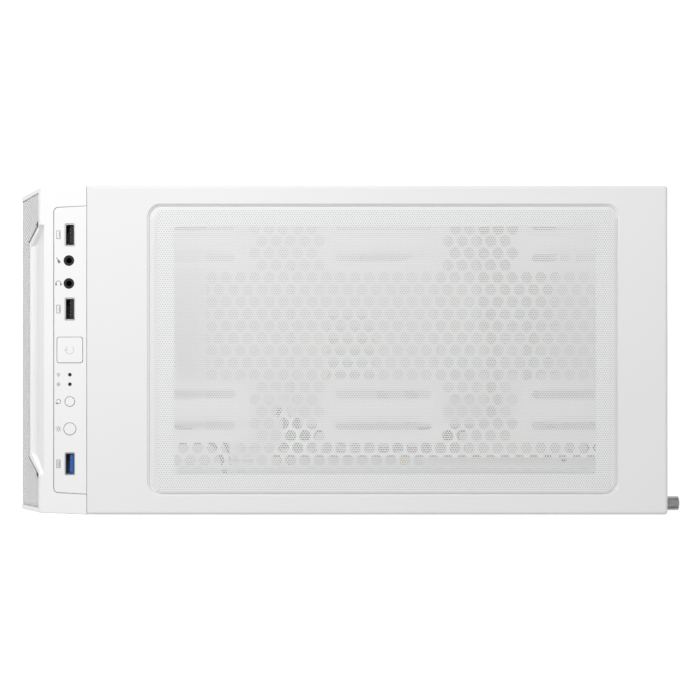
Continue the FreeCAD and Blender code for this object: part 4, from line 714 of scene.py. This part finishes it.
def port_contacts():
    """Gilt springs on the tongues of the three wide ports."""
    work = bmesh.new()
    for x in (-72.0, -25.6, 71.1):
        for i in range(4):
            add_prism(work, block(x - 3.5 + 7.0 / 3 * i, PORT_Y + 0.03, 1.1, 0.14), HEIGHT - 9.5, HEIGHT - 2.4)
    piece_from(work, "port_contacts", "gilt", "case")


def add_screw(work, place, radius, axis="y", sign=1.0, depth=1.6):
    """Domed screw head with a cross recess, standing on a face."""
    count, rings = 24, [(1.0, 0.0), (1.0, 0.35), (0.86, 0.75), (0.55, 1.0)]
    frame_of = {"y": lambda u, v, w: Vector((place[0] + u, place[1] + sign * w, place[2] + v)),
                "z": lambda u, v, w: Vector((place[0] + u, place[1] + v, place[2] + sign * w)),
                "x": lambda u, v, w: Vector((place[0] + sign * w, place[1] + u, place[2] + v))}[axis]
    loops = []
    for scale, rise in rings:
        loops.append([work.verts.new(frame_of(radius * scale * math.cos(2 * math.pi * i / count),
                                              radius * scale * math.sin(2 * math.pi * i / count), rise * depth) * MM)
                      for i in range(count)])
    cross = []
    for i in range(count):
        reach = 0.46 if i % 6 in (0, 1, 5) else 0.16
        angle = 2 * math.pi * i / count
        cross.append(work.verts.new(frame_of(radius * reach * math.cos(angle), radius * reach * math.sin(angle), depth) * MM))
    floor = [work.verts.new(frame_of(*(0.85 * radius * (0.46 if i % 6 in (0, 1, 5) else 0.16) * f(2 * math.pi * i / count)
                                       for f in (math.cos, math.sin)), depth * 0.25) * MM) for i in range(count)]
    loops += [cross, floor]
    for low, high in zip(loops, loops[1:]):
        for i in range(count):
            j = (i + 1) % count
            work.faces.new([low[i], low[j], high[j], high[i]])
    work.faces.new(loops[0][::-1])
    work.faces.new(floor)


def case_screws():
    """Heads that hold the fans, the power supply and the slot covers."""
    work = bmesh.new()
    face = 197.7
    for sx in (-1, 1):
        for sz in (-1, 1):
            add_screw(work, (-36.0 + sx * 52.5, face, 372.0 + sz * 52.5), 3.4)
            for z in (104.0, 224.6, 345.2):
                add_screw(work, (-12.5 + sx * 52.5, -164.4, z + sz * 52.5), 3.4, sign=-1.0)
    for x, z in ((-69, 80), (69, 80), (-69, 16), (69, 6)):
        add_screw(work, (-13.0 + x, face, 15.3 + z), 3.3)
    piece_from(work, "case_screws", "dark screw", "case")


# ------------------------------------------------------------------ what is on the motherboard
BOARD_FACE = 65.85


def cylinder_on_board(work, y, z, radius, height):
    add_prism(work, disc(y, z, radius, 18), BOARD_FACE - height, BOARD_FACE + 0.02, "x")


def block_on_board(work, y, z, long, tall, height):
    add_prism(work, block(y, z, long, tall), BOARD_FACE - height, BOARD_FACE + 0.02, "x")


def board_details():
    """Capacitors, coils, chips, a clock battery and a drive cover on the motherboard."""
    cans = bmesh.new()
    for k in range(8):
        cylinder_on_board(cans, 78.0 + 8.4 * k, 300.0, 3.1, 9.0)
        cylinder_on_board(cans, -20.0, 290.0 + 9.0 * k, 3.1, 9.0)
    cylinder_on_board(cans, 100.0, 180.0, 10.0, 3.2)
    block_on_board(cans, 100.0, 220.0, 80.0, 22.0, 3.0)
    piece_from(cans, "board_capacitors", "aluminium", "case", 0.35)
    dark = bmesh.new()
    for k in range(6):
        block_on_board(dark, 80.0 + 10.2 * k, 394.0, 8.8, 8.8, 6.5)
    for row in range(3):
        for column in range(2):
            cylinder_on_board(dark, 172.0 + 9.0 * column, 148.0 + 11.0 * row, 2.7, 7.5)
    for y, z, size in ((162.0, 256.0, 10.0), (180.0, 218.0, 8.0), (4.0, 226.0, 7.0), (-34.0, 384.0, 6.5),
                       (160.0, 184.0, 9.0), (-4.0, 402.0, 8.0)):
        block_on_board(dark, y, z, size, size, 1.3)
    piece_from(dark, "board_chips", "black", "case", 0.3)
    chance = random.Random(7)
    tiny = bmesh.new()
    for y_low, y_high, z_low, z_high, count in ((-46, -25, 242, 292, 26), (-46, -25, 358, 424, 26),
                                                (-12, 14, 212, 420, 64), (147, 190, 226, 276, 34),
                                                (62, 140, 170, 195, 24), (146, 166, 152, 176, 12)):
        for _ in range(count):
            y, z = chance.uniform(y_low, y_high), chance.uniform(z_low, z_high)
            long, tall = chance.choice(((1.9, 1.0), (1.0, 1.9), (2.8, 1.4)))
            block_on_board(tiny, y, z, long, tall, 0.7)
    piece_from(tiny, "board_resistors", "pale chip", "case")


# ------------------------------------------------------------------ cables
def smooth_path(corners, steps=9):
    """Points along a smooth curve through the corners."""
    ends = [corners[0]] + list(corners) + [corners[-1]]
    made = []
    for a, b, c, d in zip(ends, ends[1:], ends[2:], ends[3:]):
        for k in range(steps):
            t = k / steps
            made.append((2 * b + (c - a) * t + (2 * a - 5 * b + 4 * c - d) * t * t
                         + (3 * b - a - 3 * c + d) * t ** 3) / 2)
    return made + [corners[-1]]


def add_cord(work, corners, radius, sides=8):
    """A round cord along a smooth path."""
    path = smooth_path([Vector(corner) for corner in corners])
    side = None
    rings = []
    for i, point in enumerate(path):
        along = (path[min(i + 1, len(path) - 1)] - path[max(i - 1, 0)]).normalized()
        side = side or along.orthogonal()
        side = (side - along * side.dot(along)).normalized()
        other = along.cross(side)
        turns = [2 * math.pi * k / sides for k in range(sides)]
        rings.append([work.verts.new((point + (side * math.cos(a) + other * math.sin(a)) * radius) * MM)
                      for a in turns])
    for low, high in zip(rings, rings[1:]):
        for k in range(sides):
            work.faces.new([low[k], low[(k + 1) % sides], high[(k + 1) % sides], high[k]])
    work.faces.new(rings[0][::-1])
    work.faces.new(rings[-1])


def inner_cables():
    """Sleeved board supply, card supply, data and fan cables, all held at both ends."""
    sleeves = bmesh.new()
    for k in range(12):
        z = 303.0 + 4.2 * k
        way = 285.0 + 2.1 * k
        for layer in (0.0, 4.4):
            add_cord(sleeves, [(46.0, -37.2 - layer, z), (36.0 - layer, -42.0 - layer, z), (35.0 - layer, -62.0, z * 0.7 + way * 0.3),
                               (60.0, -80.0 + layer, way), (86.0, -78.0 + layer, way)], 1.75)
    for k in range(6):
        y = 118.0 + 4.2 * k
        add_cord(sleeves, [(-57.0, y, 232.0), (-70.0, y, 231.0), (-78.0, y - 12.0, 205.0),
                           (-74.0, 70.0 + k, 150.0), (-62.0 + 3.6 * k, 24.0, 121.0), (-64.0 + 3.6 * k, 20.0, 96.0)], 1.75)
    piece_from(sleeves, "sleeved_cables", "sleeve", "case")
    thin = bmesh.new()
    for k, z in enumerate((187.0, 207.0, 227.0)):
        add_cord(thin, [(57.5, -36.0, z), (44.0, -44.0, z - 4), (42.0 + 3 * k, -52.0, z - 30),
                        (46.0 + 3 * k, -30.0, 128.0), (44.0 + 4 * k, 16.0, 120.0), (44.0 + 4 * k, 20.0, 97.0)], 1.5)
    for z, way in ((104.0, 190.0), (224.6, 292.0), (345.2, 386.0)):
        add_cord(thin, [(46.5, -142.0, z + 50.0), (56.0, -134.0, z + 52.0), (60.0, -112.0, (z + way) / 2 + 30.0),
                        (62.0, -88.0, way), (86.0, -80.0, way)], 1.3)
    piece_from(thin, "thin_cables", "black", "case")
    plugs = bmesh.new()
    add_prism(plugs, block(-39.5, 326.0, 10.4, 51.5), 44.5, 54.0, "x")
    add_prism(plugs, block(128.5, 232.0, 26.0, 9.0), -62.0, -55.0, "x")
    for z in (187.0, 207.0, 227.0):
        add_prism(plugs, block(-36.0, z, 14.0, 8.0), 55.0, 62.0, "x")
    piece_from(plugs, "cable_plugs", "black", "case", 0.4)


def slot_screws():
    """Screws beside the card slots, at the rear."""
    work = bmesh.new()
    for k in range(7):
        add_screw(work, (-49.0, 197.7, 262.0 - 20.32 * k), 2.9)
    piece_from(work, "slot_screws", "dark screw", "case")


printed_marks()
power_mark()
port_contacts()
case_screws()
board_details()
inner_cables()
slot_screws()


# ------------------------------------------------------------------ stage
def make_stage():
    floor_finish = Finish("studio floor")
    grain = floor_finish.noise(12.0, 2.0)
    floor_finish.set(Base_Color=floor_finish.mixed(grain, (0.90, 0.90, 0.90), (0.93, 0.93, 0.93)), Roughness=0.9,
                     Emission_Color=(1.0, 1.0, 1.0), Emission_Strength=0.60)
    mesh = bpy.data.meshes.new("floor")
    half = 6.0
    mesh.from_pydata([(-half, -half, -0.0005), (half, -half, -0.0005), (half, half, -0.0005),
                      (-half, half, -0.0005)], [], [(0, 1, 2, 3)])
    mesh.materials.append(floor_finish.material)
    floor = bpy.data.objects.new("floor", mesh)
    bpy.context.collection.objects.link(floor)
    world = bpy.data.worlds.new("studio")
    bpy.context.scene.world = world
    sky = Finish.on_sky(world)
    rise = sky.wire(sky.node("ShaderNodeSeparateXYZ", None, [sky.node("ShaderNodeTexCoord").outputs["Generated"]]), 2)
    sky.feed(sky.shader.inputs["Color"], sky.mixed(rise.between(0.0, 0.85), (0.16, 0.16, 0.16), (1.0, 1.0, 1.0)))
    sky.shader.inputs["Strength"].default_value = 0.66
    soft_light("key_softbox", (-0.5, -0.3, 1.35), (0.0, -0.12, 0.42), (0.5, 0.5), 6.3)
    soft_light("door_softbox", (-1.5, -0.2, 0.75), (0.0, 0.0, 0.2), (1.2, 0.9), 1.5)
    soft_light("inner_glow", (-0.075, -0.09, 0.42), (0.02, -0.06, 0.15), (0.03, 0.08), 0.004)
    bpy.context.scene.view_settings.view_transform = "Standard"


make_camera()
make_stage()
